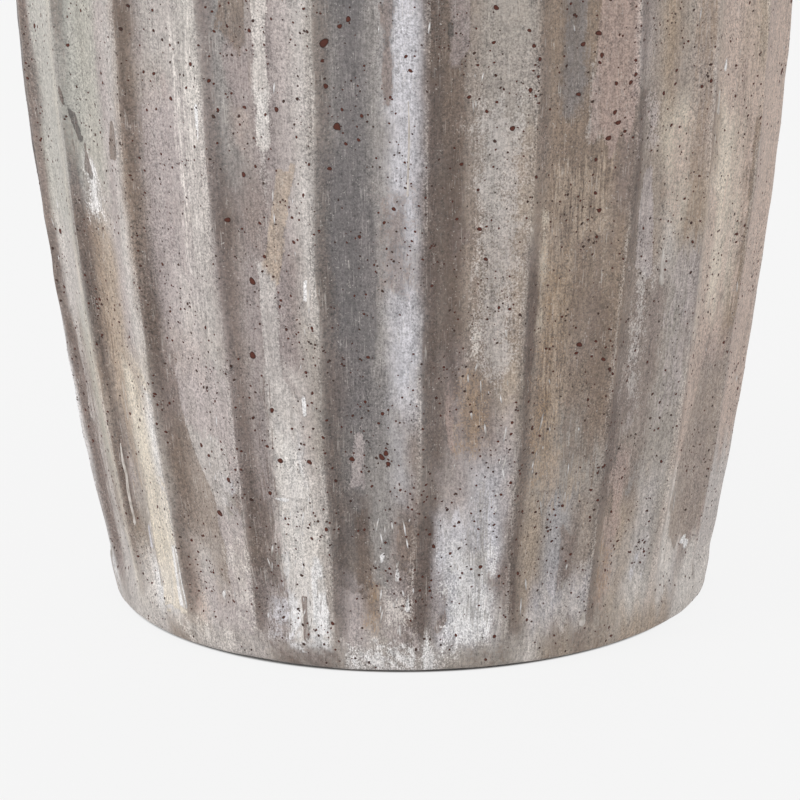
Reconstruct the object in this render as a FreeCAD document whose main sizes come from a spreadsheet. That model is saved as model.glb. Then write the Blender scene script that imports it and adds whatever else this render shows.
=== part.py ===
import FreeCAD, Part
import Sketcher
import math
import os

# Large fluted urn vase, built up from luted ceramic sections.
#
# The wall swells from a round foot to a high belly, turns over a round shoulder and closes on a short
# neck with a rolled lip. Broad concave flutes run up the wall, with soft ridges between them. They start
# in scoops just above a plain band at the foot and die out on the shoulder.
#
# Frame: millimetres, +Z up, origin in the middle of the plane that the vase rests on, and the front
# of the vase faces -Y. Angles are in degrees.

# Driving dimensions
SIZES = (
    # Outline of the whole vase
    ("foot_radius", 110.0),
    ("belly_radius", 145.0),
    ("belly_height", 296.0),
    ("shoulder_rise", 71.0),
    ("seat_angle", 80.0),
    # Wall of the fluted sections
    ("wall_thickness", 6.5),
    ("flute_depth", 4.2),
    ("first_ridge_angle", 2.0),
    ("flute_end_angle", 62.0),
    # Felt pads under the foot
    ("pad_count", 4),
    ("pad_radius", 8.0),
    ("pad_thickness", 1.2),
    ("first_pad_angle", 45.0),
    # Floor disc with its foot ring and the register that centres the wall
    ("band_height", 8.5),
    ("foot_edge_radius", 2.0),
    ("foot_ring_width", 24.0),
    ("foot_recess", 2.0),
    ("register_height", 3.0),
    ("register_clearance", 0.2),
    # Coil in the corner between floor and wall
    ("floor_coil_width", 9.0),
    ("floor_coil_height", 8.0),
    ("coil_clearance", 0.2),
    # Half-lap seam in the middle of the wall, and the coil pressed in behind it
    ("seam_height", 200.0),
    ("tongue_height", 8.0),
    ("tongue_share", 0.48),
    ("seam_clearance", 0.2),
    ("seam_coil_height", 7.0),
    ("seam_coil_bulge", 4.0),
    # Roof of the shoulder
    ("roof_thickness", 8.0),
    # Neck collar, seated on the roof
    ("bore_radius", 50.0),
    ("spigot_wall", 5.0),
    ("spigot_overhang", 2.0),
    ("spigot_clearance", 0.25),
    ("collar_radius", 74.0),
    ("collar_edge", 2.5),
    ("neck_wall", 10.0),
    ("neck_height", 36.0),
    ("cove_radius", 12.0),
    ("tenon_wall", 5.0),
    ("tenon_height", 4.0),
    # Rolled lip
    ("lip_radius", 72.0),
    ("lip_height", 18.0),
    ("lip_outer_round", 8.2),
    ("lip_inner_round", 6.0),
    ("lip_clearance", 0.2),
    # Overrun of every cut
    ("cut_overrun", 5.0),
)

# A rounding takes no more than this share of the wall that carries it
ROUND_LIMIT_SHARE = 0.92

# Heights at which the flutes are set out, as shares of the way from the top of the foot band to the belly,
# each with its share of the full flute depth. The first few make the scoop at the foot.
WALL_LEVEL_SHARES = (
    (0.00, 0.30),
    (0.02, 0.62),
    (0.05, 0.88),
    (0.10, 1.00),
    (0.24, 1.00),
    (0.43, 1.00),
    (0.62, 1.00),
    (0.81, 1.00),
    (1.00, 1.00),
)

# The same over the shoulder, as shares of the angle at which the flutes die out
SHOULDER_LEVEL_SHARES = (
    (0.22, 0.96),
    (0.45, 0.78),
    (0.68, 0.48),
    (0.86, 0.18),
    (1.00, 0.00),
)

# How far each ridge stands from its even place, as a share of the pitch, going round to the right from
# the ridge at the front. There are as many flutes as entries, cut by hand and a little uneven.
RIDGE_SHIFT_SHARES = (
    0.00, 0.01, 0.06, 0.12, 0.09, 0.04, -0.02, -0.06,
    0.01, 0.05, 0.00, -0.05, 0.02, 0.07, 0.03, -0.04,
    0.00, 0.04, -0.02, 0.01, 0.00, -0.02, 0.03,
)

# How deep each flute is, as a share of the full depth, starting right of the front ridge
FLUTE_DEPTH_SHARES = (
    0.95, 1.00, 0.88, 1.00, 0.92, 0.84, 0.97, 1.00,
    0.90, 0.86, 0.98, 1.00, 0.85, 0.94, 0.90, 1.00,
    0.87, 0.96, 1.00, 0.90, 0.98, 0.93, 1.00,
)


def outline_radius(height):
    """Formula of the ridge radius at a height below the belly, a parabola that stands upright there."""
    return (
        "belly_radius - (belly_radius - foot_radius)"
        f" * ((belly_height - {height}) / (belly_height - pad_thickness)) ^ 2"
    )


# Sizes that follow from the driving ones
DERIVED = (
    # Foot and floor
    ("foot_underside", "pad_thickness"),
    ("recess_top", "foot_underside + foot_recess"),
    ("foot_ring_inner", "foot_radius - foot_ring_width"),
    ("pad_pitch_radius", "(foot_ring_inner + foot_radius - foot_edge_radius) / 2"),
    ("band_top", "foot_underside + band_height"),
    ("band_top_radius", outline_radius("band_top")),
    ("floor_top", "band_top + register_height"),
    ("wall_depth", "flute_depth + wall_thickness"),
    ("register_radius", "band_top_radius - wall_depth - register_clearance"),
    ("foot_edge_round", f"min(foot_edge_radius; band_height * {ROUND_LIMIT_SHARE})"),
    # Coil in the floor corner
    ("floor_coil_top", "floor_top + floor_coil_height"),
    ("floor_coil_outer", f"{outline_radius('floor_top')} - wall_depth - coil_clearance"),
    ("floor_coil_inner", "floor_coil_outer - floor_coil_width"),
    ("floor_coil_top_outer", f"{outline_radius('floor_coil_top')} - wall_depth - coil_clearance"),
    # Middle seam
    ("tongue_top", "seam_height + tongue_height"),
    ("seam_inner_radius", f"{outline_radius('seam_height')} - wall_depth"),
    ("tongue_radius", "seam_inner_radius + wall_thickness * tongue_share"),
    ("rebate_radius", "tongue_radius + seam_clearance"),
    ("seam_coil_top", "tongue_top + seam_coil_height"),
    ("rebate_top", "seam_coil_top + coil_clearance"),
    ("seam_coil_inner", f"{outline_radius('tongue_top')} - wall_depth - seam_coil_bulge"),
    ("seam_coil_wall", "tongue_radius - seam_coil_inner"),
    ("seam_coil_round", f"min(seam_coil_height / 2; seam_coil_wall) * {ROUND_LIMIT_SHARE}"),
    # Shoulder, a quarter ellipse round the shoulder centre
    ("shoulder_reach", "(belly_radius - collar_radius) / (1 - cos(seat_angle))"),
    ("shoulder_centre", "belly_radius - shoulder_reach"),
    ("seat_height", "belly_height + shoulder_rise * sin(seat_angle)"),
    ("roof_underside", "seat_height - roof_thickness"),
    ("inner_rise", "roof_underside - belly_height"),
    ("inner_reach", "shoulder_reach - wall_depth"),
    # Neck
    ("spigot_radius", "bore_radius + spigot_wall"),
    ("roof_hole_radius", "spigot_radius + spigot_clearance"),
    ("spigot_bottom", "roof_underside - spigot_overhang"),
    ("collar_edge_top", "seat_height + collar_edge"),
    ("neck_radius", "bore_radius + neck_wall"),
    ("lip_seat", "seat_height + neck_height"),
    ("tenon_radius", "bore_radius + tenon_wall"),
    ("tenon_top", "lip_seat + tenon_height"),
    ("cove_round", f"min(cove_radius; (collar_radius - neck_radius) * {ROUND_LIMIT_SHARE})"),
    # Lip
    ("lip_rebate_radius", "tenon_radius + lip_clearance"),
    ("lip_rebate_top", "tenon_top + lip_clearance"),
    ("lip_top", "lip_seat + lip_height"),
    ("lip_outer_fillet", f"min(lip_outer_round; lip_height / 2 * {ROUND_LIMIT_SHARE})"),
    ("lip_inner_fillet", f"min(lip_inner_round; (lip_top - lip_rebate_top) * {ROUND_LIMIT_SHARE})"),
)

document = FreeCAD.newDocument("UrnVase")
sheet = document.addObject("Spreadsheet::Sheet", "Sizes")


def fill_sheet():
    """Write every driving size as a plain number, and every derived one as a formula."""
    for row, (alias, value) in enumerate(SIZES, start=1):
        sheet.set(f"A{row}", alias)
        sheet.set(f"B{row}", str(value))
        sheet.setAlias(f"B{row}", alias)
    for row, (alias, formula) in enumerate(DERIVED, start=len(SIZES) + 1):
        sheet.set(f"A{row}", alias)
        sheet.set(f"B{row}", f"={formula}")
        sheet.setAlias(f"B{row}", alias)
    document.recompute()


def size(alias):
    """The value of a cell, in millimetres or degrees."""
    return float(sheet.get(alias))


def bind(item, **cells):
    """Bind each named property of an object to a cell of the sheet."""
    for name, alias in cells.items():
        item.setExpression(name, f"Sizes.{alias}")


def origin_feature(body, role):
    """The body's own origin plane or axis with this role."""
    return next(feature for feature in body.Origin.OriginFeatures if feature.Role == role)


def lathe_body(label, corners):
    """A body turned round the Z axis. Each corner of its half section is a radius cell and a height cell,
    and a radius cell of None lies on the axis."""
    body = document.addObject("PartDesign::Body", label)
    body.Label = label
    sketch = body.newObject("Sketcher::SketchObject", f"{label}_section")
    sketch.AttachmentSupport = [(origin_feature(body, "XZ_Plane"), "")]
    sketch.MapMode = "FlatFace"
    points = [
        FreeCAD.Vector(0 if radius is None else size(radius), size(height), 0)
        for radius, height in corners
    ]
    for start, end in zip(points, points[1:] + points[:1]):
        sketch.addGeometry(Part.LineSegment(start, end))
    for index, (radius, height) in enumerate(corners):
        previous = (index - 1) % len(corners)
        sketch.addConstraint(Sketcher.Constraint("Coincident", previous, 2, index, 1))
        if radius is None:
            sketch.addConstraint(Sketcher.Constraint("PointOnObject", index, 1, -2))
        else:
            across = sketch.addConstraint(
                Sketcher.Constraint("DistanceX", -1, 1, index, 1, points[index].x)
            )
            sketch.setExpression(f"Constraints[{across}]", f"Sizes.{radius}")
        up = sketch.addConstraint(Sketcher.Constraint("DistanceY", -1, 1, index, 1, points[index].y))
        sketch.setExpression(f"Constraints[{up}]", f"Sizes.{height}")
    turned = body.newObject("PartDesign::Revolution", f"{label}_turned")
    turned.Profile = sketch
    turned.ReferenceAxis = (sketch, ["V_Axis"])
    turned.Angle = 360
    body.Tip = turned
    document.recompute()
    return body


def round_ring(body, name, radius, height, rounding):
    """Round the circular edge of a turned body that has this radius cell and this height cell."""
    base = body.Tip
    wanted = FreeCAD.Vector(size(radius), size(height), 0)
    found = []
    for index, edge in enumerate(base.Shape.Edges, start=1):
        if not isinstance(edge.Curve, Part.Circle):
            continue
        place = FreeCAD.Vector(edge.Curve.Radius, edge.Curve.Center.z, 0)
        if place.isEqual(wanted, Part.Precision.approximation()):
            found.append(f"Edge{index}")
    if not found:
        raise ValueError(f"{name}: no edge to round")
    fillet = body.newObject("PartDesign::Fillet", name)
    fillet.Base = (base, found)
    bind(fillet, Radius=rounding)
    body.Tip = fillet
    document.recompute()


def felt_pads():
    """Flat round pads stuck under the foot ring, evenly round it."""
    pads = []
    for index in range(int(size("pad_count"))):
        pad = document.addObject("Part::Cylinder", f"pad_{index + 1}")
        bind(pad, Radius="pad_radius", Height="pad_thickness")
        turn = f"Sizes.first_pad_angle + {index} * 360 / Sizes.pad_count"
        pad.setExpression("Placement.Base.x", f"Sizes.pad_pitch_radius * cos({turn})")
        pad.setExpression("Placement.Base.y", f"Sizes.pad_pitch_radius * sin({turn})")
        pads.append(pad)
    group = document.addObject("Part::Compound", "felt_pads")
    group.Links = pads
    return group


def floor_disc():
    """Round slab whose edge is the plain band, with a foot ring turned under it and a register on top."""
    body = lathe_body("floor_disc", (
        (None, "recess_top"),
        ("foot_ring_inner", "recess_top"),
        ("foot_ring_inner", "foot_underside"),
        ("foot_radius", "foot_underside"),
        ("band_top_radius", "band_top"),
        ("register_radius", "band_top"),
        ("register_radius", "floor_top"),
        (None, "floor_top"),
    ))
    round_ring(body, "foot_edge", "foot_radius", "foot_underside", "foot_edge_round")
    return body


def floor_coil():
    """Wedge-shaped coil pressed into the corner between the floor and the wall."""
    return lathe_body("floor_coil", (
        ("floor_coil_inner", "floor_top"),
        ("floor_coil_outer", "floor_top"),
        ("floor_coil_top_outer", "floor_coil_top"),
    ))


def seam_coil():
    """Coil that lies on the tongue of the lower wall and fills the rebate behind the middle seam."""
    body = lathe_body("seam_coil", (
        ("seam_coil_inner", "tongue_top"),
        ("tongue_radius", "tongue_top"),
        ("tongue_radius", "seam_coil_top"),
        ("seam_coil_inner", "seam_coil_top"),
    ))
    for name, height in (("seam_coil_under", "tongue_top"), ("seam_coil_over", "seam_coil_top")):
        round_ring(body, name, "seam_coil_inner", height, "seam_coil_round")
    return body


def flute_wire(radius, height, depth):
    """One closed level of the fluted wall: a shallow curve across each flute, ridge to ridge."""
    count = len(RIDGE_SHIFT_SHARES)
    pitch = 360 / count
    angles = [
        size("first_ridge_angle") + pitch * (index + shift)
        for index, shift in enumerate(RIDGE_SHIFT_SHARES)
    ]
    angles.append(angles[0] + 360)

    def place(reach, angle):
        turn = math.radians(angle)
        return FreeCAD.Vector(reach * math.sin(turn), -reach * math.cos(turn), height)

    ridges = [place(radius, angle) for angle in angles[:-1]]
    edges = []
    for index, share in enumerate(FLUTE_DEPTH_SHARES):
        start = ridges[index]
        end = ridges[(index + 1) % count]
        middle = place(radius - depth * share, (angles[index] + angles[index + 1]) / 2)
        curve = Part.BezierCurve()
        curve.setPoles([start, middle * 2 - (start + end) / 2, end])
        edges.append(curve.toShape())
    return Part.Wire(edges)


def wall_level(share):
    """Ridge radius and height at a share of the way from the band to the belly."""
    height = size("band_top") + share * (size("belly_height") - size("band_top"))
    fall = (size("belly_height") - height) / (size("belly_height") - size("foot_underside"))
    radius = size("belly_radius") - (size("belly_radius") - size("foot_radius")) * fall ** 2
    return radius, height


def shoulder_level(angle):
    """Radius and height at an angle up the quarter ellipse of the shoulder."""
    turn = math.radians(angle)
    radius = size("shoulder_centre") + size("shoulder_reach") * math.cos(turn)
    height = size("belly_height") + size("shoulder_rise") * math.sin(turn)
    return radius, height


def fluted_form():
    """Solid outer form of the wall and shoulder, lofted up through the levels of the flutes."""
    wires = []
    for share, depth_share in WALL_LEVEL_SHARES:
        radius, height = wall_level(share)
        wires.append(flute_wire(radius, height, size("flute_depth") * depth_share))
    for share, depth_share in SHOULDER_LEVEL_SHARES:
        radius, height = shoulder_level(share * size("flute_end_angle"))
        wires.append(flute_wire(radius, height, size("flute_depth") * depth_share))
    radius, height = shoulder_level(size("seat_angle"))
    wires.append(flute_wire(radius, height, 0))
    form = document.addObject("Part::Feature", "fluted_form")
    form.Shape = Part.makeLoft(wires, True, False)
    return form


def cavity():
    """Smooth round hollow, a wall thickness inside the deepest flute and under the roof."""
    low = size("band_top") - size("cut_overrun")
    high = size("belly_height")
    top = size("roof_underside")
    centre = size("shoulder_centre")
    reach = size("inner_reach")
    rise = size("inner_rise")
    swell = size("belly_radius") - size("foot_radius")
    span = size("belly_height") - size("foot_underside")
    low_radius = centre + reach - swell * ((high - low) / span) ** 2
    low_slope = 2 * swell * (high - low) / span ** 2

    def at(radius, height):
        return FreeCAD.Vector(radius, 0, height)

    # A parabola is a curve with three poles, and the middle one lies on both end tangents.
    wall = Part.BezierCurve()
    wall.setPoles([
        at(low_radius, low),
        at(low_radius + low_slope * (high - low) / 2, (low + high) / 2),
        at(centre + reach, high),
    ])
    # The shoulder inside is a quarter ellipse, drawn as a unit circle's quarter and then scaled.
    quarter = Part.Arc(at(1, 0), at(math.cos(math.pi / 4), math.sin(math.pi / 4)), at(0, 1)).toShape()
    stretch = FreeCAD.Matrix()
    stretch.scale(reach, 1, rise)
    stretch.move(at(centre, high))
    shoulder = quarter.transformGeometry(stretch)
    outline = Part.Wire([
        Part.LineSegment(at(0, low), at(low_radius, low)).toShape(),
        wall.toShape(),
        shoulder,
        Part.LineSegment(at(centre, top), at(0, top)).toShape(),
        Part.LineSegment(at(0, top), at(0, low)).toShape(),
    ])
    hollow = document.addObject("Part::Feature", "cavity")
    hollow.Shape = Part.Face(outline).revolve(FreeCAD.Vector(0, 0, 0), FreeCAD.Vector(0, 0, 1), 360)
    return hollow


def zone(name, radius, bottom, height):
    """Upright cylinder round the axis. Its sizes are formulas in the cells' names."""
    drum = document.addObject("Part::Cylinder", name)
    drum.setExpression("Radius", radius)
    drum.setExpression("Height", height)
    drum.setExpression("Placement.Base.z", bottom)
    return drum


def combined(kind, name, base, tool):
    """A cut or a common of two objects."""
    result = document.addObject(kind, name)
    result.Base = base
    result.Tool = tool
    return result


def wall_sections():
    """Lower and upper wall, parted at the half-lap seam."""
    shell = combined("Part::Cut", "fluted_shell", fluted_form(), cavity())
    beyond = "Sizes.belly_radius + Sizes.cut_overrun"

    below_seam = zone("below_seam", beyond, "0", "Sizes.seam_height")
    tongue = zone("tongue_zone", "Sizes.tongue_radius", "0", "Sizes.tongue_top")
    lower_zone = document.addObject("Part::MultiFuse", "lower_zone")
    lower_zone.Shapes = [below_seam, tongue]
    lower = combined("Part::Common", "lower_wall", shell, lower_zone)

    under_seat = zone("under_seat", beyond, "0", "Sizes.seam_height")
    rebate = zone("rebate_zone", "Sizes.rebate_radius", "0", "Sizes.rebate_top")
    roof_hole = zone(
        "roof_hole",
        "Sizes.roof_hole_radius",
        "Sizes.roof_underside - Sizes.cut_overrun",
        "Sizes.roof_thickness + 2 * Sizes.cut_overrun",
    )
    removed = document.addObject("Part::MultiFuse", "upper_removed")
    removed.Shapes = [under_seat, rebate, roof_hole]
    upper = combined("Part::Cut", "upper_wall", shell, removed)
    return lower, upper


def neck_collar():
    """Short neck with a flange on the shoulder, a spigot through the roof and a tenon for the lip."""
    body = lathe_body("neck_collar", (
        ("bore_radius", "spigot_bottom"),
        ("spigot_radius", "spigot_bottom"),
        ("spigot_radius", "seat_height"),
        ("collar_radius", "seat_height"),
        ("collar_radius", "collar_edge_top"),
        ("neck_radius", "collar_edge_top"),
        ("neck_radius", "lip_seat"),
        ("tenon_radius", "lip_seat"),
        ("tenon_radius", "tenon_top"),
        ("bore_radius", "tenon_top"),
    ))
    round_ring(body, "neck_cove", "neck_radius", "collar_edge_top", "cove_round")
    return body


def rim_roll():
    """Thick rolled lip that drops over the tenon of the neck."""
    body = lathe_body("rim_roll", (
        ("bore_radius", "lip_rebate_top"),
        ("lip_rebate_radius", "lip_rebate_top"),
        ("lip_rebate_radius", "lip_seat"),
        ("lip_radius", "lip_seat"),
        ("lip_radius", "lip_top"),
        ("bore_radius", "lip_top"),
    ))
    round_ring(body, "lip_under", "lip_radius", "lip_seat", "lip_outer_fillet")
    round_ring(body, "lip_over", "lip_radius", "lip_top", "lip_outer_fillet")
    round_ring(body, "lip_inside", "bore_radius", "lip_top", "lip_inner_fillet")
    return body


def check_document():
    """Stop if any object of the document failed to build."""
    for item in document.Objects:
        if "Invalid" in item.State or "Error" in item.State:
            raise ValueError(f"{item.Name} did not build: {item.State}")


def write_parts(pieces):
    """Write each piece to its own file, once all of them are sound."""
    for piece in pieces:
        if piece.Shape.isNull() or not piece.Shape.isValid():
            raise ValueError(f"{piece.Label} has no valid shape")
    os.makedirs("parts", exist_ok=True)
    for piece in pieces:
        piece.Shape.exportStep(os.path.join("parts", f"{piece.Label}.step"))
        box = piece.Shape.BoundBox
        print(
            f"{piece.Label}: {len(piece.Shape.Solids)} solids, {piece.Shape.Volume / 1000:.1f} cm3,"
            f" z {box.ZMin:.2f} to {box.ZMax:.2f}, x to {box.XMax:.2f}"
        )


fill_sheet()
made = [felt_pads(), floor_disc(), floor_coil(), seam_coil(), neck_collar(), rim_roll()]
made.extend(wall_sections())
document.recompute()
check_document()
write_parts(made)
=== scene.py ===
import math

import bpy
import numpy as np
from mathutils import Matrix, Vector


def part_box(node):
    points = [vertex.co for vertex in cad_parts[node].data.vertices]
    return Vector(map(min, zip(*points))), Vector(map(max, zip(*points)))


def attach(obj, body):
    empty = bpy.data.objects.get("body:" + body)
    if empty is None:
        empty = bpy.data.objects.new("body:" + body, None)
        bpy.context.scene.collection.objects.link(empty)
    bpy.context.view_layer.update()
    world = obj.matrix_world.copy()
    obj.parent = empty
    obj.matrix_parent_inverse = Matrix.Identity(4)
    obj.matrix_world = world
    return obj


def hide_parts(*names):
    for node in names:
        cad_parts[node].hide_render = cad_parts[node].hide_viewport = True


# Looks of a large fluted urn vase with a weathered, hand-brushed glaze.
#
# Lengths are in metres, written as millimetres times MM. Angles round the vase are in degrees, with 0
# facing the camera and growing towards the vase's right side. Places in the tables of folds, marks,
# speckles, flecks and runs are such an angle and a level, in millimetres above the underside of the foot.
# Widths there are in millimetres too.

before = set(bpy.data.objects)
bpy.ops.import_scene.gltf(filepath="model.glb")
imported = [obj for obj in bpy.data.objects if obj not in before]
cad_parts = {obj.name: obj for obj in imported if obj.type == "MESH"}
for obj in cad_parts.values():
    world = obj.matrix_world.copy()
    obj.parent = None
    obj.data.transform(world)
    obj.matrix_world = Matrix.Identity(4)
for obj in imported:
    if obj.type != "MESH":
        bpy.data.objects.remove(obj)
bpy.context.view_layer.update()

MM = 0.001

# Outline of the vase, as the solids have it
FOOT_RADIUS = 110 * MM
BELLY_RADIUS = 145 * MM
BELLY_HEIGHT = 296 * MM
SHOULDER_RISE = 71 * MM
SEAT_ANGLE = 80
SEAT_RADIUS = 74 * MM
FLUTE_DEPTH = 4.2 * MM
WALL = 6.5 * MM
FLUTE_END_ANGLE = 62
FIRST_RIDGE = 2.0
RIDGE_SHIFT_SHARES = (
    0.00, 0.01, 0.06, 0.12, 0.09, 0.04, -0.02, -0.06,
    0.01, 0.05, 0.00, -0.05, 0.02, 0.07, 0.03, -0.04,
    0.00, 0.04, -0.02, 0.01, 0.00, -0.02, 0.03,
)
FLUTE_DEPTH_SHARES = np.array((
    0.95, 1.00, 0.88, 1.00, 0.92, 0.84, 0.97, 1.00,
    0.90, 0.86, 0.98, 1.00, 0.85, 0.94, 0.90, 1.00,
    0.87, 0.96, 1.00, 0.90, 0.98, 0.93, 1.00,
))
FLUTES = len(RIDGE_SHIFT_SHARES)
PITCH = 360 / FLUTES

# Places read from the solids
FOOT_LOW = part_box("floor_disc")[0].z
FLOOR_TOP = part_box("floor_disc")[1].z
BAND_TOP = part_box("lower_wall")[0].z
TONGUE_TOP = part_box("lower_wall")[1].z
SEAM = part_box("upper_wall")[0].z
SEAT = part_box("upper_wall")[1].z
SPIGOT_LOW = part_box("neck_collar")[0].z
TENON_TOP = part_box("neck_collar")[1].z
LIP_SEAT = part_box("rim_roll")[0].z
LIP_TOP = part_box("rim_roll")[1].z
LIP_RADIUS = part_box("rim_roll")[1].x
SEAM_COIL_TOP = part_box("seam_coil")[1].z
FLOOR_COIL_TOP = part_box("floor_coil")[1].z

# Smaller sizes of the sections
FOOT_EDGE = 2 * MM
FOOT_RING = 24 * MM
FOOT_RECESS = 2 * MM
BORE = 50 * MM
SPIGOT_WALL = 5 * MM
NECK_WALL = 10 * MM
ROOF = 8 * MM
TENON_WALL = 5 * MM
COLLAR_EDGE = 2.5 * MM
COLLAR_ROUND = 0.9 * MM
COVE = 12 * MM
LIP_OUTER_ROUND = 8.2 * MM
LIP_INNER_ROUND = 6 * MM
TONGUE_SHARE = 0.48
ROOM = 0.2 * MM
COIL_WIDTH = 9 * MM
COIL_BULGE = 4 * MM
THUMB_DIP = 1.2 * MM
PAD_RADIUS = 8 * MM
PAD_COUNT = 4
FIRST_PAD = 45

WALL_DEPTH = FLUTE_DEPTH + WALL
SHOULDER_REACH = (BELLY_RADIUS - SEAT_RADIUS) / (1 - math.cos(math.radians(SEAT_ANGLE)))
SHOULDER_CENTRE = BELLY_RADIUS - SHOULDER_REACH
ROOF_UNDER = SEAT - ROOF

# Fineness of the meshes
ROW_STEP = 2 * MM
COLUMNS_PER_FLUTE = 34
INNER_STEP = 14 * MM
CROWDING = 0.45
EDGE_CROWDING = 1.6
SHARP_TURN = math.radians(38)

# Noise on the shape

WAVE_SPREAD = (0.35, 1.3)
DRIFT_SPREAD = (0.5, 1.5)


def waves(angle, along, seed, length, count=7):
    """Sum of slanted waves of about this length that closes on itself round the vase, mostly -1 to 1."""
    draw = np.random.RandomState(seed)
    around = 2 * math.pi * BELLY_RADIUS / length
    total = np.zeros(np.broadcast(angle, along).shape)
    for _ in range(count):
        turns = round(draw.uniform(*WAVE_SPREAD) * around) * draw.choice((-1, 1))
        climb = 2 * math.pi * draw.uniform(*WAVE_SPREAD) / length
        total += np.sin(turns * np.radians(angle) + climb * along + draw.uniform(0, 2 * math.pi))
    return total / math.sqrt(count)


def drift(along, seed, length, count=4):
    """Sum of waves along a line, mostly -1 to 1."""
    draw = np.random.RandomState(seed)
    total = np.zeros(np.shape(along))
    for _ in range(count):
        turns = 2 * math.pi * draw.uniform(*DRIFT_SPREAD) / length
        total += np.sin(turns * along + draw.uniform(0, 2 * math.pi))
    return total / math.sqrt(count)


def ease(low, high, value):
    """Smooth step from 0 to 1."""
    share = np.clip((value - low) / (high - low), 0, 1)
    return share * share * (3 - 2 * share)


def wrapped(angle):
    """Angle between -180 and 180 degrees."""
    return (angle + 180) % 360 - 180


# Outline


def outline_radius(height):
    """Ridge radius below the belly, a parabola that stands upright there."""
    fall = (BELLY_HEIGHT - height) / (BELLY_HEIGHT - FOOT_LOW)
    return BELLY_RADIUS - (BELLY_RADIUS - FOOT_RADIUS) * fall ** 2


def shoulder_turn(height):
    """Angle up the quarter ellipse of the shoulder, in degrees, and 0 below the belly."""
    rise = np.clip((height - BELLY_HEIGHT) / SHOULDER_RISE, 0, math.sin(math.radians(SEAT_ANGLE)))
    return np.degrees(np.arcsin(rise))


def ridge_radius(height):
    """Ridge radius at any height of the wall."""
    turn = np.radians(shoulder_turn(height))
    above = SHOULDER_CENTRE + SHOULDER_REACH * np.cos(turn)
    return np.where(height < BELLY_HEIGHT, outline_radius(height), above)


def outline_climb():
    """Heights up the wall, and the length along the outline from the foot to each."""
    heights = np.concatenate([
        np.linspace(FOOT_LOW, BELLY_HEIGHT, 200),
        BELLY_HEIGHT + SHOULDER_RISE * np.sin(np.radians(np.linspace(0, SEAT_ANGLE, 100)[1:])),
    ])
    steps = np.hypot(np.diff(heights), np.diff(ridge_radius(heights)))
    return heights, np.concatenate([[0.0], np.cumsum(steps)])


CLIMB_HEIGHTS, CLIMB_LENGTHS = outline_climb()

# Ridges and flutes

# How far some ridges of the seen side lean, in degrees, at the foot, at half height of the view and its top
LEAN_LEVELS = (0, 110, 225)
RIDGE_LEANS = {
    0: (-1.2, 0.6, 1.7),
    1: (-0.3, 0.3, 1.3),
    2: (0.3, 0.2, 1.0),
    19: (-0.6, 0.1, 0),
    20: (-0.8, -0.4, 0.3),
    21: (1.0, 1.1, -0.4),
    22: (0.3, -0.3, 0.7),
}
# Slighter unevenness of every ridge, in degrees: its lean at the foot, which fades upwards, and its wander
FOOT_LEAN = 0.9
FOOT_LEAN_FADE = 55 * MM
WANDER = 0.22
WANDER_LENGTH = 110 * MM

# Shape of a flute, cut steeply down from the ridge on its left and rising slowly to the next one
STEEP_SIDE = 4.0 * MM
SLOW_SIDE = 12.0 * MM
STEEP_ROUND = 1.2 * MM
SLOW_ROUND = 3.0 * MM
CREST_WEAR = 0.9 * MM
DEEPEST_SHARE = 0.80
HOLLOW_WAVES = 0.12
FADE_START_SHARE = 0.2

# Rounded scoop that each flute starts in above the band: how far above it, and over what length
SCOOP_STARTS = (0.2, 2.6)
SCOOP_LENGTHS = (9, 17)
SCOOP_CORNER = 6 * MM
SCOOP_RAGGED = 0.5 * MM
BAND_BLEND = 9 * MM

# Thin folds and beads inside the flutes: angle and level at the top, the same at the foot, half width
# and depth. A fold with a depth below zero stands proud.
FOLDS = (
    (-57.0, 132, -54.6, 14, 2.2, 0.7),
    (-54.8, 120, -52.3, 16, 1.8, -0.45),
    (-53.6, 62, -51.4, 14, 1.5, 0.55),
    (-47.2, 232, -49.5, 150, 2.2, 0.35),
    (-22.6, 112, -22.2, 12, 1.8, -0.3),
    (-20.6, 228, -21.2, 150, 1.8, -0.3),
    (-7.6, 190, -7.2, 118, 2.0, 0.35),
    (-5.4, 228, -5.0, 120, 2.0, -0.3),
    (9.4, 112, 8.6, 30, 2.0, -0.25),
    (24.5, 196, 26.0, 100, 2.4, 0.3),
    (29.4, 104, 28.2, 18, 2.0, 0.35),
    (38.4, 196, 37.6, 88, 1.8, -0.3),
    (43.4, 150, 42.2, 60, 2.4, 0.3),
    (53.0, 108, 52.6, 30, 1.6, -0.5),
    (61.5, 190, 61.0, 112, 2.2, 0.45),
    (58.6, 60, 56.4, 14, 2.0, 0.45),
)
# Folds of the sides that the photograph doesn't show
UNSEEN_FROM = 72
UNSEEN_FOLDS = 46
UNSEEN_TOPS = (60, 320)
FOLD_LENGTHS = (40, 130)
LOWEST_FOLD = 14
FOLD_LEAN = 1.5
FOLD_HALF_WIDTHS = (1.6, 2.6)
FOLD_DEPTHS = (0.5, 0.35, -0.3)
# How far a fold bends sideways, in degrees, and the shares of its length over which its ends fade
FOLD_BEND = 0.5
FOLD_BEND_TURN = 5
FOLD_TOP_FADE = 0.2
FOLD_FOOT_FADE = 0.25

# The tables were read off the photograph on a smooth vase of this inset, with a slightly longer lens.
# What was read goes over to nothing between the two angles.
READ_INSET = 2.6 * MM
READ_LENS = 0.991
READ_RISE = 1.35
READ_HEIGHT_SHARE = 0.9903
READ_ANGLES = (70, 95)
LOOKING_DOWN = math.tan(math.radians(16.3))

# Where the wall is a little leaner than the outline
LEAN_HEIGHT = 122 * MM
LEAN_SPREAD = 58 * MM
LEAN_DROP = 0.95
FOOT_SWELL = 0.5
FOOT_SWELL_FADE = 34 * MM
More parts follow.
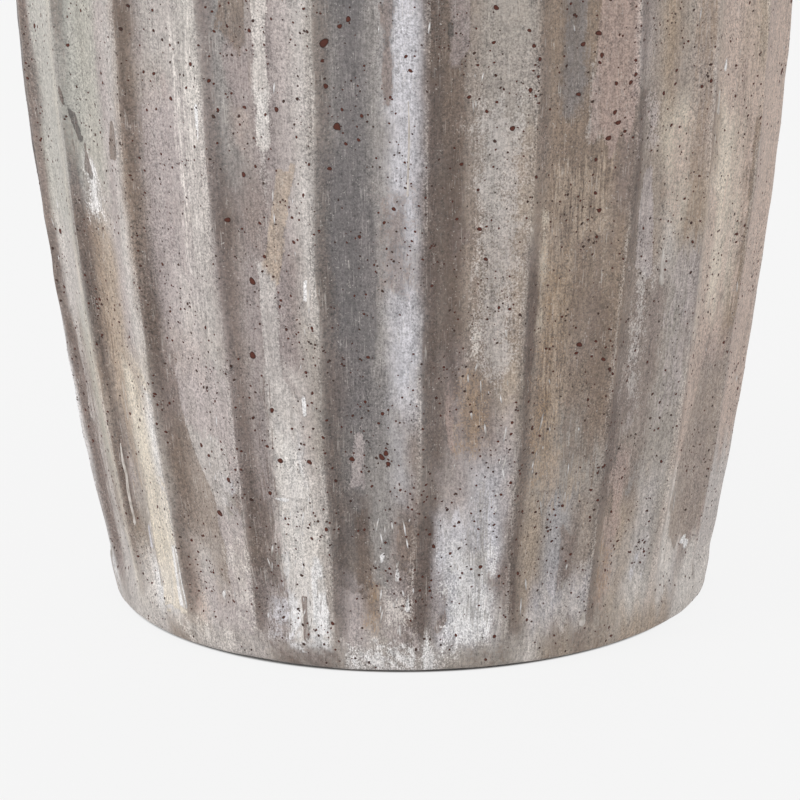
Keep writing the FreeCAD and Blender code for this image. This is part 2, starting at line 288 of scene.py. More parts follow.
# Slight waves of the hand: mean depth in millimetres, then depth, seed and length of each
HAND_DROP = 0.50
HAND_WAVES = ((0.30, 11, 130 * MM), (0.14, 12, 32 * MM), (0.05, 13, 11 * MM))
CALM_BELOW_SEAT = 14 * MM


def ridge_angles(height):
    """Angle of every ridge at every height, and of the first one again after a full turn. The ridges lean
    and wander a little, as they were cut by hand."""
    low = np.exp(-np.clip(height - FOOT_LOW, 0, None) / FOOT_LEAN_FADE)
    lean = np.random.RandomState(5).uniform(-FOOT_LEAN, FOOT_LEAN, FLUTES)
    level = (height - FOOT_LOW) / MM
    rows = []
    for index, shift in enumerate(RIDGE_SHIFT_SHARES):
        wander = WANDER * drift(height, 400 + index, WANDER_LENGTH)
        seen_lean = np.interp(level, LEAN_LEVELS, RIDGE_LEANS.get(index, (0, 0, 0)))
        rows.append(FIRST_RIDGE + PITCH * (index + shift) + lean[index] * low + wander + seen_lean)
    rows.append(rows[0] + 360)
    return np.array(rows)


def flute_place(angle, height):
    """For flat arrays of points: the number of the flute, and the arcs back to the ridge on its left and
    on to the ridge on its right, in metres."""
    ridges = ridge_angles(height)
    turned = ridges[0] + np.mod(angle - ridges[0], 360)
    number = np.zeros(turned.shape, int)
    for index in range(1, FLUTES):
        number += turned >= ridges[index]
    points = np.arange(len(turned))
    arc = np.radians(1) * ridge_radius(height)
    from_left = (turned - ridges[number, points]) * arc
    to_right = (ridges[number + 1, points] - turned) * arc
    return number, from_left, to_right


def as_read(angle, height, radius):
    """Angle and level, in the terms of the tables, of points that the camera sees at this radius.
    Points behind keep their place."""
    behind = ease(*READ_ANGLES, np.abs(wrapped(angle)))
    smooth = ridge_radius(height) - READ_INSET
    turn = np.radians(wrapped(angle))
    read_turn = np.arcsin(np.clip(READ_LENS * radius / smooth * np.sin(turn), -1, 1))
    forward = smooth * np.cos(read_turn) - radius * np.cos(turn)
    level = (height - FOOT_LOW) / MM
    read_level = READ_RISE + READ_HEIGHT_SHARE * level + forward * LOOKING_DOWN / MM
    shift = np.degrees(read_turn - turn)
    return angle + (1 - behind) * shift, level + (1 - behind) * (read_level - level)


def unseen_folds():
    """More folds for the sides that the photograph doesn't show."""
    draw = np.random.RandomState(71)
    made = []
    for _ in range(UNSEEN_FOLDS):
        angle = draw.uniform(UNSEEN_FROM, 360 - UNSEEN_FROM)
        top = draw.uniform(*UNSEEN_TOPS)
        low = max(LOWEST_FOLD, top - draw.uniform(*FOLD_LENGTHS))
        depth = draw.choice(FOLD_DEPTHS)
        low_angle = angle + draw.uniform(-FOLD_LEAN, FOLD_LEAN)
        made.append((angle, top, low_angle, low, draw.uniform(*FOLD_HALF_WIDTHS), depth))
    return tuple(made)


def fold_drop(angle, height):
    """How far the folds take the surface in."""
    total = np.zeros(angle.shape)
    arc = np.radians(1) * ridge_radius(height)
    angle, level = as_read(angle, height, ridge_radius(height) - DEEPEST_SHARE * FLUTE_DEPTH)
    for top_angle, top, low_angle, low, half_width, depth in FOLDS + unseen_folds():
        share = (top - level) / (top - low)
        bend = FOLD_BEND * np.sin(share * FOLD_BEND_TURN + top)
        line = top_angle + (low_angle - top_angle) * share + bend
        across = wrapped(angle - line) * arc / (half_width * MM)
        ends = ease(0, FOLD_TOP_FADE, share) * ease(0, FOLD_FOOT_FADE, 1 - share)
        total += depth * MM * np.exp(-across ** 2) * ends
    return total


def scoop_share(number, from_left, to_right, angle, height):
    """How much of its depth a flute has reached in the scoop above the band."""
    draw = np.random.RandomState(9)
    start = draw.uniform(*SCOOP_STARTS, FLUTES)[number] * MM
    length = draw.uniform(*SCOOP_LENGTHS, FLUTES)[number] * MM
    middle = (from_left - to_right) / (from_left + to_right)
    ragged = SCOOP_RAGGED * waves(angle, height, 77, 11 * MM)
    return ease(0, length, height - BAND_TOP - start - SCOOP_CORNER * middle ** 4 - ragged)


def wall_drop(angle, height):
    """How far the glazed wall lies inside the ridge outline, for flat arrays of points."""
    number, from_left, to_right = flute_place(angle, height)
    steep = 1 - np.exp(-(np.hypot(from_left, STEEP_ROUND) - STEEP_ROUND) / STEEP_SIDE)
    slow = 1 - np.exp(-(np.hypot(to_right, SLOW_ROUND) - SLOW_ROUND) / SLOW_SIDE)
    depth = FLUTE_DEPTH * FLUTE_DEPTH_SHARES[number] / DEEPEST_SHARE
    hollow = depth * steep * slow * (1 + HOLLOW_WAVES * waves(angle, height, 31, 90 * MM))
    scoop = scoop_share(number, from_left, to_right, angle, height)
    fade = 1 - ease(FADE_START_SHARE * FLUTE_END_ANGLE, FLUTE_END_ANGLE, shoulder_turn(height))
    above_band = ease(BAND_TOP, BAND_TOP + BAND_BLEND, height)
    return hollow * scoop * fade + above_band * (CREST_WEAR * fade + fold_drop(angle, height))


def hand_drop(angle, height):
    """Slight waves that the hand left, mostly inside the outline. They die out at the collar's seat."""
    climb = np.interp(height, CLIMB_HEIGHTS, CLIMB_LENGTHS)
    calm = 1 - ease(SEAT - CALM_BELOW_SEAT, SEAT, height)
    low = np.exp(-(height - FOOT_LOW) / FOOT_SWELL_FADE)
    lean = np.exp(-((height - LEAN_HEIGHT) / LEAN_SPREAD) ** 2)
    drop = HAND_DROP + LEAN_DROP * lean - FOOT_SWELL * low * (1 + np.sin(np.radians(angle)))
    for depth, seed, length in HAND_WAVES:
        drop = drop + depth * waves(angle, climb, seed, length)
    return calm * MM * drop


def foot_edge_drop(height):
    """Rounding of the lowest edge of the band."""
    gap = np.clip(FOOT_EDGE - (height - FOOT_LOW), 0, FOOT_EDGE)
    return FOOT_EDGE - np.sqrt(FOOT_EDGE ** 2 - gap ** 2)


def wall_radius(angle, height):
    """Radius of the glazed wall, for flat arrays of points."""
    inward = wall_drop(angle, height) + hand_drop(angle, height) + foot_edge_drop(height)
    return ridge_radius(height) - inward


# Profiles, from the foot upwards. A row is (radius, height, skin).

BARE = 0
GLAZED_WALL = 1
GLAZED_PLAIN = 2
SEAM_INNER = outline_radius(SEAM) - WALL_DEPTH
TONGUE_RADIUS = SEAM_INNER + WALL * TONGUE_SHARE
REGISTER_RADIUS = outline_radius(BAND_TOP) - WALL_DEPTH - ROOM
NECK_RADIUS = BORE + NECK_WALL
COLLAR_TOP = SEAT + COLLAR_EDGE


def arc_rows(centre_radius, centre_height, reach, start, end, skin, count=7):
    """Rows along a round, whose angles are measured from the outward direction, anticlockwise."""
    rows = []
    for turn in np.radians(np.linspace(start, end, count)):
        rows.append((centre_radius + reach * math.cos(turn), centre_height + reach * math.sin(turn), skin))
    return rows


def wall_rows(low, high):
    """Rows up the outside of the wall between two heights."""
    rows = []
    if low < BELLY_HEIGHT:
        top = min(high, BELLY_HEIGHT)
        for height in np.linspace(low, top, max(2, round((top - low) / ROW_STEP)) + 1):
            rows.append((outline_radius(height), height, GLAZED_WALL))
    if high > BELLY_HEIGHT:
        count = round(math.radians(SEAT_ANGLE) * (SHOULDER_REACH + SHOULDER_RISE) / 2 / ROW_STEP)
        for turn in np.radians(np.linspace(0, SEAT_ANGLE, count + 1))[1:]:
            radius = SHOULDER_CENTRE + SHOULDER_REACH * math.cos(turn)
            rows.append((radius, BELLY_HEIGHT + SHOULDER_RISE * math.sin(turn), GLAZED_WALL))
    return rows


def inner_wall_rows(high, low):
    """Rows down the inside of the wall below the belly."""
    count = max(2, round((high - low) / INNER_STEP))
    return [(outline_radius(z) - WALL_DEPTH, z, BARE) for z in np.linspace(high, low, count + 1)]


def inner_shoulder_rows():
    """Rows down the inside of the shoulder, from the roof to the belly."""
    rise = ROOF_UNDER - BELLY_HEIGHT
    reach = SHOULDER_REACH - WALL_DEPTH
    rows = []
    for turn in np.radians(np.linspace(90, 0, 12)):
        rows.append((SHOULDER_CENTRE + reach * math.cos(turn), BELLY_HEIGHT + rise * math.sin(turn), BARE))
    return rows


def floor_rows():
    """Underside, foot ring, band and register of the floor, from the axis and back to it."""
    ring_inner = FOOT_RADIUS - FOOT_RING
    recess = FOOT_LOW + FOOT_RECESS
    rows = [(0, recess, BARE), (ring_inner * 0.5, recess, BARE), (ring_inner, recess, BARE)]
    rows += [(ring_inner, FOOT_LOW, BARE), (FOOT_RADIUS - FOOT_EDGE, FOOT_LOW, BARE)]
    for height in np.linspace(0, 1, 5) ** EDGE_CROWDING * FOOT_EDGE + FOOT_LOW:
        rows.append((outline_radius(height), height, GLAZED_WALL))
    for height in np.linspace(FOOT_LOW + FOOT_EDGE, BAND_TOP, 6)[1:]:
        rows.append((outline_radius(height), height, GLAZED_WALL))
    rows += [(REGISTER_RADIUS, BAND_TOP, BARE), (REGISTER_RADIUS, FLOOR_TOP, BARE)]
    rows += [(REGISTER_RADIUS * share, FLOOR_TOP, BARE) for share in (0.75, 0.5, 0.25, 0)]
    return rows


def lower_wall_rows():
    """Fluted outside, tongue of the seam, smooth inside."""
    rows = wall_rows(BAND_TOP, SEAM)
    rows += [(TONGUE_RADIUS, SEAM, BARE), (TONGUE_RADIUS, TONGUE_TOP, BARE)]
    return rows + inner_wall_rows(TONGUE_TOP, BAND_TOP)


def upper_wall_rows():
    """Fluted outside, shoulder, roof with its hole, smooth inside and the rebate of the seam."""
    hole = BORE + SPIGOT_WALL + ROOM
    rebate_top = SEAM_COIL_TOP + ROOM
    rows = wall_rows(SEAM, SEAT)
    rows += [(hole, SEAT, BARE), (hole, ROOF_UNDER, BARE)]
    rows += inner_shoulder_rows()
    rows += inner_wall_rows(BELLY_HEIGHT, rebate_top)[1:]
    return rows + [(TONGUE_RADIUS + ROOM, rebate_top, BARE), (TONGUE_RADIUS + ROOM, SEAM, BARE)]


def neck_rows():
    """Flange, cove, neck, tenon, bore and spigot."""
    spigot = BORE + SPIGOT_WALL
    tenon = BORE + TENON_WALL
    edge_radius, edge_low = SEAT_RADIUS - COLLAR_ROUND, COLLAR_TOP - COLLAR_ROUND
    rows = [(spigot, SPIGOT_LOW, BARE), (spigot, SEAT, BARE)]
    rows += [(SEAT_RADIUS, SEAT, GLAZED_PLAIN), (SEAT_RADIUS, edge_low, GLAZED_PLAIN)]
    rows += arc_rows(edge_radius, edge_low, COLLAR_ROUND, 20, 90, GLAZED_PLAIN, 4)
    rows += arc_rows(NECK_RADIUS + COVE, COLLAR_TOP + COVE, COVE, 270, 180, GLAZED_PLAIN, 10)
    for height in np.linspace(COLLAR_TOP + COVE, LIP_SEAT, 12)[1:]:
        rows.append((NECK_RADIUS, height, GLAZED_PLAIN))
    rows += [(tenon, LIP_SEAT, BARE), (tenon, TENON_TOP, BARE)]
    for height in np.linspace(TENON_TOP, SPIGOT_LOW, 8):
        rows.append((BORE, height, BARE))
    return rows


def lip_rows():
    """Rolled lip with its rebate."""
    rebate = BORE + TENON_WALL + ROOM
    rebate_top = TENON_TOP + ROOM
    outer = LIP_RADIUS - LIP_OUTER_ROUND
    inner = BORE + LIP_INNER_ROUND
    rows = [(rebate, LIP_SEAT, BARE), (NECK_RADIUS, LIP_SEAT, GLAZED_PLAIN)]
    rows += arc_rows(outer, LIP_SEAT + LIP_OUTER_ROUND, LIP_OUTER_ROUND, -90, 0, GLAZED_PLAIN, 10)
    rows += arc_rows(outer, LIP_TOP - LIP_OUTER_ROUND, LIP_OUTER_ROUND, 0, 90, GLAZED_PLAIN, 10)
    rows += arc_rows(inner, LIP_TOP - LIP_INNER_ROUND, LIP_INNER_ROUND, 90, 180, GLAZED_PLAIN, 9)
    return rows + [(BORE, rebate_top, GLAZED_PLAIN), (rebate, rebate_top, BARE)]


def floor_coil_rows():
    """Wedge-shaped coil in the floor corner, with a thumbed face."""
    outer = outline_radius(FLOOR_TOP) - WALL_DEPTH - ROOM
    top_outer = outline_radius(FLOOR_COIL_TOP) - WALL_DEPTH - ROOM
    rows = [(outer, FLOOR_TOP, BARE), (top_outer, FLOOR_COIL_TOP, BARE)]
    for share in (0.25, 0.5, 0.75, 1):
        dip = THUMB_DIP * math.sin(math.pi * share)
        radius = top_outer + (outer - COIL_WIDTH - top_outer) * share
        rows.append((radius + dip, FLOOR_COIL_TOP + (FLOOR_TOP - FLOOR_COIL_TOP) * share, BARE))
    return rows


def seam_coil_rows():
    """Half-round coil behind the middle seam."""
    half = (SEAM_COIL_TOP - TONGUE_TOP) / 2
    middle = outline_radius(TONGUE_TOP) - WALL_DEPTH - COIL_BULGE + half
    rows = [(TONGUE_RADIUS, TONGUE_TOP, BARE), (TONGUE_RADIUS, SEAM_COIL_TOP, BARE)]
    return rows + arc_rows(middle, TONGUE_TOP + half, half, 90, 270, BARE, 9)


# Glaze colours
PALETTE = {
    "soot": "55504D",
    "slate": "6F6B6B",
    "iron_grey": "827D7C",
    "stone": "95908D",
    "blue_grey": "B2AFB2",
    "blue_white": "D6D4DA",
    "chalk": "F4F2F2",
    "mauve_brown": "85766F",
    "mauve": "9E9290",
    "light_mauve": "B8ADAB",
    "pale_grey": "C6BFBB",
    "warm_white": "DBD4CE",
    "umber": "695A52",
    "brown": "7C6B5F",
    "tan": "968271",
    "ochre": "A0866C",
    "olive": "827664",
    "taupe": "9D8F85",
    "sage": "B6B6AC",
    "warm_grey": "AAA199",
    "sand": "B2A08F",
    "rosy": "B39D94",
    "pink_cream": "C3AFA3",
    "cream": "E0D5C5",
}


def linear(name):
    """A palette colour as linear red, green and blue."""
    digits = PALETTE[name]
    shares = np.array([int(digits[at:at + 2], 16) / 255 for at in (0, 2, 4)])
    return np.where(shares <= 0.04045, shares / 12.92, ((shares + 0.055) / 1.055) ** 2.4)


# Marks of the brush on the side that the photograph shows. Each has its kind, colour, strength, the
# levels of its top and foot, the angles of its left and right edge at the top, and the same at the foot
# if they differ. Later marks lie over earlier ones.
# Dark marks in the strip right of a ridge are partly glaze pooled in the crease and partly painted shade; a
# few white wet marks are partly a painted highlight
SOFT, WASH, VEIL, DRY, STIPPLE, WET = "soft", "wash", "veil", "dry", "stipple", "wet"
FLUTE_A = (
    # The mauve brown and umber by the left ridge of this flute are partly painted shade
    (SOFT, "mauve_brown", 0.9, (262, 40), (-77, -69.6)),
    (SOFT, "pale_grey", 0.9, (262, 108), (-70.4, -60.6)),
    (SOFT, "stone", 0.7, (212, 196), (-76, -70)),
    (SOFT, "taupe", 0.85, (112, 44), (-70, -64.6)),
    (SOFT, "mauve_brown", 0.9, (104, 12), (-73.6, -67.6)),
    (SOFT, "sand", 0.6, (112, 44), (-65, -60.6)),
    (SOFT, "warm_grey", 0.85, (34, 2), (-68.6, -60.6)),
    (SOFT, "pale_grey", 0.9, (36, 4), (-68.6, -60.6)),
    (SOFT, "chalk", 0.85, (112, -6), (-80, -74.1)),
    (SOFT, "cream", 0.6, (262, 10), (-62.4, -60.4)),
    (SOFT, "pale_grey", 0.9, (262, 214), (-72.2, -68)),
    (SOFT, "sage", 0.5, (124, 56), (-65, -60.8)),
    (SOFT, "umber", 0.5, (104, 50), (-72.2, -69.6)),
    (SOFT, "mauve_brown", 0.85, (34, 8), (-74, -69.8)),
    (SOFT, "taupe", 0.6, (58, 44), (-65.5, -62)),
    (SOFT, "taupe", 0.5, (222, 186), (-75.6, -72)),
    (SOFT, "pale_grey", 0.6, (130, 114), (-72, -67)),
    (SOFT, "mauve_brown", 0.9, (110, 78), (-74.2, -69.4)),
    (SOFT, "sage", 0.5, (262, 150), (-71.5, -61)),
    (SOFT, "warm_white", 0.6, (150, 128), (-70, -67)),
    (SOFT, "mauve_brown", 0.7, (110, 92), (-73.5, -69.4)),
    (SOFT, "mauve", 0.5, (28, 10), (-73.5, -69.4)),
    (DRY, "pale_grey", 0.6, (130, 30), (-70, -65), (-69, -64)),
)
FLUTE_B = (
    (SOFT, "stone", 0.9, (262, 150), (-60.4, -54.5)),
    (SOFT, "iron_grey", 0.7, (262, 150), (-60.4, -57)),
    (SOFT, "warm_grey", 0.9, (262, 150), (-55, -49)),
    # The umber, soot and brown strip right of the left ridge of this flute is partly painted shade
    (SOFT, "umber", 1, (162, 46), (-60.6, -54.4), (-58.8, -56.6)),
    (SOFT, "tan", 0.9, (158, 92), (-55.8, -52)),
    (SOFT, "sand", 0.9, (158, 104), (-53, -49)),
    (SOFT, "taupe", 0.85, (104, 36), (-56, -51.8)),
    (SOFT, "light_mauve", 0.85, (262, 100), (-49.6, -47)),
    (SOFT, "pale_grey", 0.95, (262, 96), (-47.4, -45)),
    (SOFT, "warm_white", 0.9, (160, 96), (-46.8, -45)),
    (SOFT, "cream", 1, (106, 2), (-52, -45)),
    (SOFT, "chalk", 0.9, (98, 24), (-47.2, -45)),
    (SOFT, "sand", 0.9, (102, 66), (-60.8, -59)),
    (SOFT, "taupe", 0.8, (60, 28), (-60.4, -54)),
    (SOFT, "olive", 0.5, (46, 34), (-59, -54.6)),
    (SOFT, "warm_white", 0.8, (30, 4), (-58, -49)),
    (SOFT, "chalk", 0.9, (30, 8), (-54.6, -47.4)),
    (SOFT, "mauve_brown", 0.95, (38, 16), (-60.8, -59.6), (-59.2, -58)),
    (SOFT, "taupe", 0.6, (20, -2), (-47.2, -45.4)),
    (SOFT, "light_mauve", 0.7, (202, 176), (-49.2, -47.2)),
    (SOFT, "tan", 0.6, (110, 94), (-49.2, -47)),
    (SOFT, "soot", 0.5, (150, 108), (-60.8, -58.4)),
    (SOFT, "sand", 0.8, (92, 70), (-60.8, -58.6)),
    (SOFT, "stone", 0.5, (262, 176), (-56.4, -53.8)),
    (SOFT, "pale_grey", 0.5, (202, 178), (-53.8, -51)),
    (SOFT, "pale_grey", 0.5, (182, 158), (-51.6, -49.4)),
    (SOFT, "warm_grey", 0.8, (74, 38), (-55.8, -51.6)),
    (SOFT, "umber", 0.9, (76, 44), (-59.4, -56.4)),
    (SOFT, "pale_grey", 0.6, (150, 126), (-47, -45)),
    (SOFT, "sage", 0.55, (262, 176), (-60.4, -49)),
    (SOFT, "warm_white", 0.7, (24, 10), (-60, -56.4)),
    (SOFT, "warm_white", 0.8, (148, 120), (-46.8, -45)),
    (SOFT, "chalk", 0.7, (26, 8), (-52, -49)),
    (SOFT, "brown", 0.8, (70, 46), (-58.4, -56.2)),
    (SOFT, "light_mauve", 0.7, (72, 56), (-56, -54)),
    (SOFT, "warm_white", 0.5, (90, 74), (-60.6, -58.4)),
    (SOFT, "pale_grey", 0.6, (28, 16), (-58.4, -56.2)),
    (WASH, "mauve", 0.85, (224, 196), (-49.5, -48.5), (-49, -48)),
    (WASH, "mauve", 0.8, (180, 148), (-48.5, -47.8), (-48.1, -47.6)),
    (WET, "brown", 1, (197, 183), (-47.2, -46.7), (-48.1, -46.6)),
    (STIPPLE, "chalk", 1, (178, 162), (-54.8, -52), (-54.6, -52.2)),
    (WET, "soot", 1, (176, 174), (-54.4, -52.8)),
    (WET, "umber", 1, (204, 198), (-60.8, -59.6), (-59.7, -58.5)),
    (WET, "soot", 1, (197, 187), (-58.3, -56.4), (-56.1, -54.2)),
    (WET, "umber", 1, (187, 176), (-54.9, -53.7), (-54.9, -53.3)),
    (DRY, "sand", 0.7, (130, 60), (-55.4, -52), (-54.6, -51.6)),
    (VEIL, "cream", 1, (64, 13), (-51.4, -45.4), (-52.6, -46)),
    (WET, "chalk", 1, (40, 15), (-47, -45.4), (-47.6, -45.8)),
    # These two light wet streaks are glossy glaze whose light colour is partly a painted highlight
    (WET, "warm_white", 0.9, (60, 44), (-55.6, -55.2), (-56.2, -55.9)),
    (WET, "blue_white", 0.95, (45, 34), (-53.2, -52.6), (-53.9, -53)),
    (WASH, "taupe", 0.8, (96, 60), (-54.6, -52.6)),
)
FLUTE_C = (
    # The brown strip right of the left ridge of this flute is partly painted shade
    (SOFT, "brown", 0.9, (262, 30), (-45.2, -40.8)),
    (SOFT, "warm_grey", 0.85, (112, 48), (-45.2, -43)),
    (SOFT, "umber", 0.7, (156, 78), (-42.8, -40.4)),
    (SOFT, "tan", 0.7, (204, 136), (-45.4, -43.2)),
    (SOFT, "mauve", 0.9, (262, 100), (-41, -38)),
    (SOFT, "light_mauve", 0.95, (262, 106), (-38.8, -32)),
    (SOFT, "pale_grey", 0.7, (262, 106), (-33, -29.2)),
    (SOFT, "mauve_brown", 0.9, (114, 84), (-43, -38.4)),
    (SOFT, "brown", 0.9, (90, 44), (-42.8, -37.6)),
    (SOFT, "taupe", 0.9, (76, 36), (-38.8, -33)),
    (SOFT, "taupe", 0.8, (54, 38), (-42, -34)),
    (SOFT, "pale_grey", 0.95, (42, 8), (-43, -35.6)),
    (SOFT, "light_mauve", 0.9, (28, 6), (-40, -30)),
    (SOFT, "taupe", 0.85, (42, 28), (-36.6, -33)),
    (SOFT, "pink_cream", 0.85, (40, 14), (-45.2, -41)),
    (SOFT, "sand", 0.7, (16, 0), (-45, -41)),
    (SOFT, "warm_white", 0.6, (52, -6), (-31.6, -29.2)),
    (SOFT, "sage", 0.3, (262, 214), (-40, -29.6)),
    (SOFT, "warm_white", 0.5, (144, 126), (-36.2, -33.8)),
    (VEIL, "light_mauve", 1, (114, 82), (-39.7, -30.6), (-37.5, -30.6)),
    (VEIL, "pale_grey", 1, (89, 57), (-38.6, -30.6), (-33.6, -30.8)),
    (VEIL, "light_mauve", 0.95, (60, 12), (-34.4, -29.2), (-33.2, -29.2)),
    (WASH, "light_mauve", 0.9, (112, 66), (-31, -28.8)),
    (WASH, "blue_white", 1, (74, 63), (-32.8, -30.2)),
    (VEIL, "mauve_brown", 0.9, (66, 55), (-30.6, -28.8), (-29.8, -28.8)),
    (WASH, "warm_white", 0.9, (224, 206), (-32, -30.2)),
    (WET, "chalk", 0.9, (210, 196), (-30.8, -30.4)),
    (WET, "chalk", 1, (26, 22), (-36.2, -35.2)),
    (WET, "warm_white", 0.8, (39, 34), (-30.2, -29.5)),
    (STIPPLE, "rosy", 0.7, (30, 16), (-44, -41)),
    (STIPPLE, "warm_white", 0.66, (44, 16), (-33.4, -29.4)),
    (DRY, "warm_white", 0.55, (236, 130), (-34.5, -31.5)),
    (DRY, "mauve", 0.5, (226, 150), (-38.4, -35)),
)
FLUTE_D = (
    (SOFT, "mauve", 0.9, (262, 8), (-29.4, -26.6)),
    (SOFT, "stone", 0.9, (262, 174), (-28, -22.6)),
    (SOFT, "stone", 0.6, (262, 176), (-27.4, -22)),
    # The mauve brown and umber right of the left ridge of this flute are partly painted shade
    (SOFT, "mauve_brown", 0.9, (176, 8), (-28, -25)),
    (SOFT, "umber", 0.8, (76, 40), (-28.2, -25)),
    (SOFT, "umber", 0.9, (28, 12), (-29.2, -27)),
    (SOFT, "light_mauve", 0.8, (30, 2), (-27.2, -24.8)),
    (SOFT, "mauve", 0.9, (180, 60), (-25.2, -21.6)),
    (SOFT, "rosy", 0.5, (234, 196), (-25, -21.4)),
    (SOFT, "mauve", 0.9, (262, 108), (-22, -17.6)),
    (SOFT, "mauve_brown", 0.6, (188, 158), (-24.4, -20)),
    (SOFT, "light_mauve", 0.8, (262, 150), (-18, -15.2)),
    (SOFT, "mauve", 1, (160, 96), (-19.6, -15.4)),
    (SOFT, "mauve_brown", 0.4, (160, 96), (-18, -15.4)),
    (SOFT, "pale_grey", 0.95, (262, 128), (-15.6, -13)),
    (SOFT, "warm_grey", 0.9, (132, 6), (-15.8, -13)),
    (SOFT, "warm_white", 0.85, (112, 8), (-22.2, -15.8)),
    (SOFT, "chalk", 1, (94, 28), (-20.8, -17.4)),
    (SOFT, "chalk", 1, (42, 6), (-21.8, -15)),
    (SOFT, "taupe", 0.9, (44, 6), (-14.9, -12.8)),
    (SOFT, "pale_grey", 0.8, (74, 52), (-15.4, -13.4)),
    (SOFT, "light_mauve", 0.8, (26, 8), (-25.4, -21)),
    (SOFT, "umber", 0.6, (184, 158), (-27.4, -25.4)),
    (SOFT, "warm_white", 0.8, (74, 28), (-17.6, -15.6)),
    (SOFT, "mauve_brown", 0.6, (28, 16), (-25.2, -22.6)),
    (SOFT, "chalk", 0.7, (18, 9), (-18, -15.2)),
    (SOFT, "mauve", 0.6, (108, 76), (-17.7, -15.4)),
    (VEIL, "brown", 0.95, (262, 237), (-25.4, -22), (-27, -22.4)),
    (VEIL, "brown", 0.95, (239, 230), (-27, -22.4), (-23.6, -22.8)),
    (VEIL, "mauve", 0.8, (232, 208), (-26.4, -22.2), (-25, -21.8)),
    (VEIL, "warm_white", 1, (262, 196), (-21.4, -19.2), (-21.2, -19.2)),
    (WASH, "chalk", 1, (216, 198), (-21.1, -19.4)),
    (WASH, "pale_grey", 0.9, (200, 180), (-21, -19.9), (-20.6, -20.2)),
    (VEIL, "sand", 0.95, (190, 147), (-18.2, -15.8), (-21.9, -19)),
    (VEIL, "pale_grey", 0.95, (153, 100), (-22.3, -19.5)),
    (VEIL, "pale_grey", 0.9, (108, 84), (-22.2, -18.4), (-21.9, -17.4)),
    (VEIL, "warm_white", 1, (92, 66), (-22.3, -18), (-21.8, -17)),
    (VEIL, "warm_white", 1, (70, 12), (-21.5, -16), (-21.2, -15)),
    (VEIL, "chalk", 1, (44, 9), (-18.2, -15.2), (-18.6, -14.6)),
    (VEIL, "chalk", 1, (30, 9), (-21.8, -19.6)),
    (WASH, "chalk", 1, (86, 66), (-20.8, -18), (-21.2, -16.8)),
    (WASH, "chalk", 1, (34, 10), (-21.7, -15), (-22.6, -14.8)),
    (WET, "chalk", 1, (149, 141), (-15.3, -14.4)),
    (WET, "chalk", 1, (107, 98), (-16.5, -16)),
    (WET, "chalk", 1, (66.5, 65), (-22.8, -20)),
    (WET, "mauve_brown", 1, (29, 11), (-19.3, -18.7), (-19.9, -18.5)),
    (DRY, "umber", 0.7, (112, 66), (-24.4, -22.4)),
    (DRY, "umber", 0.85, (66, 30), (-26.4, -23.4), (-26.2, -22.8)),
    (STIPPLE, "light_mauve", 0.7, (58, 24), (-26.6, -22)),
    (STIPPLE, "blue_white", 0.8, (30, 12), (-26.2, -21.6)),
    (SOFT, "mauve_brown", 0.7, (7, -2), (-25, -15)),
)
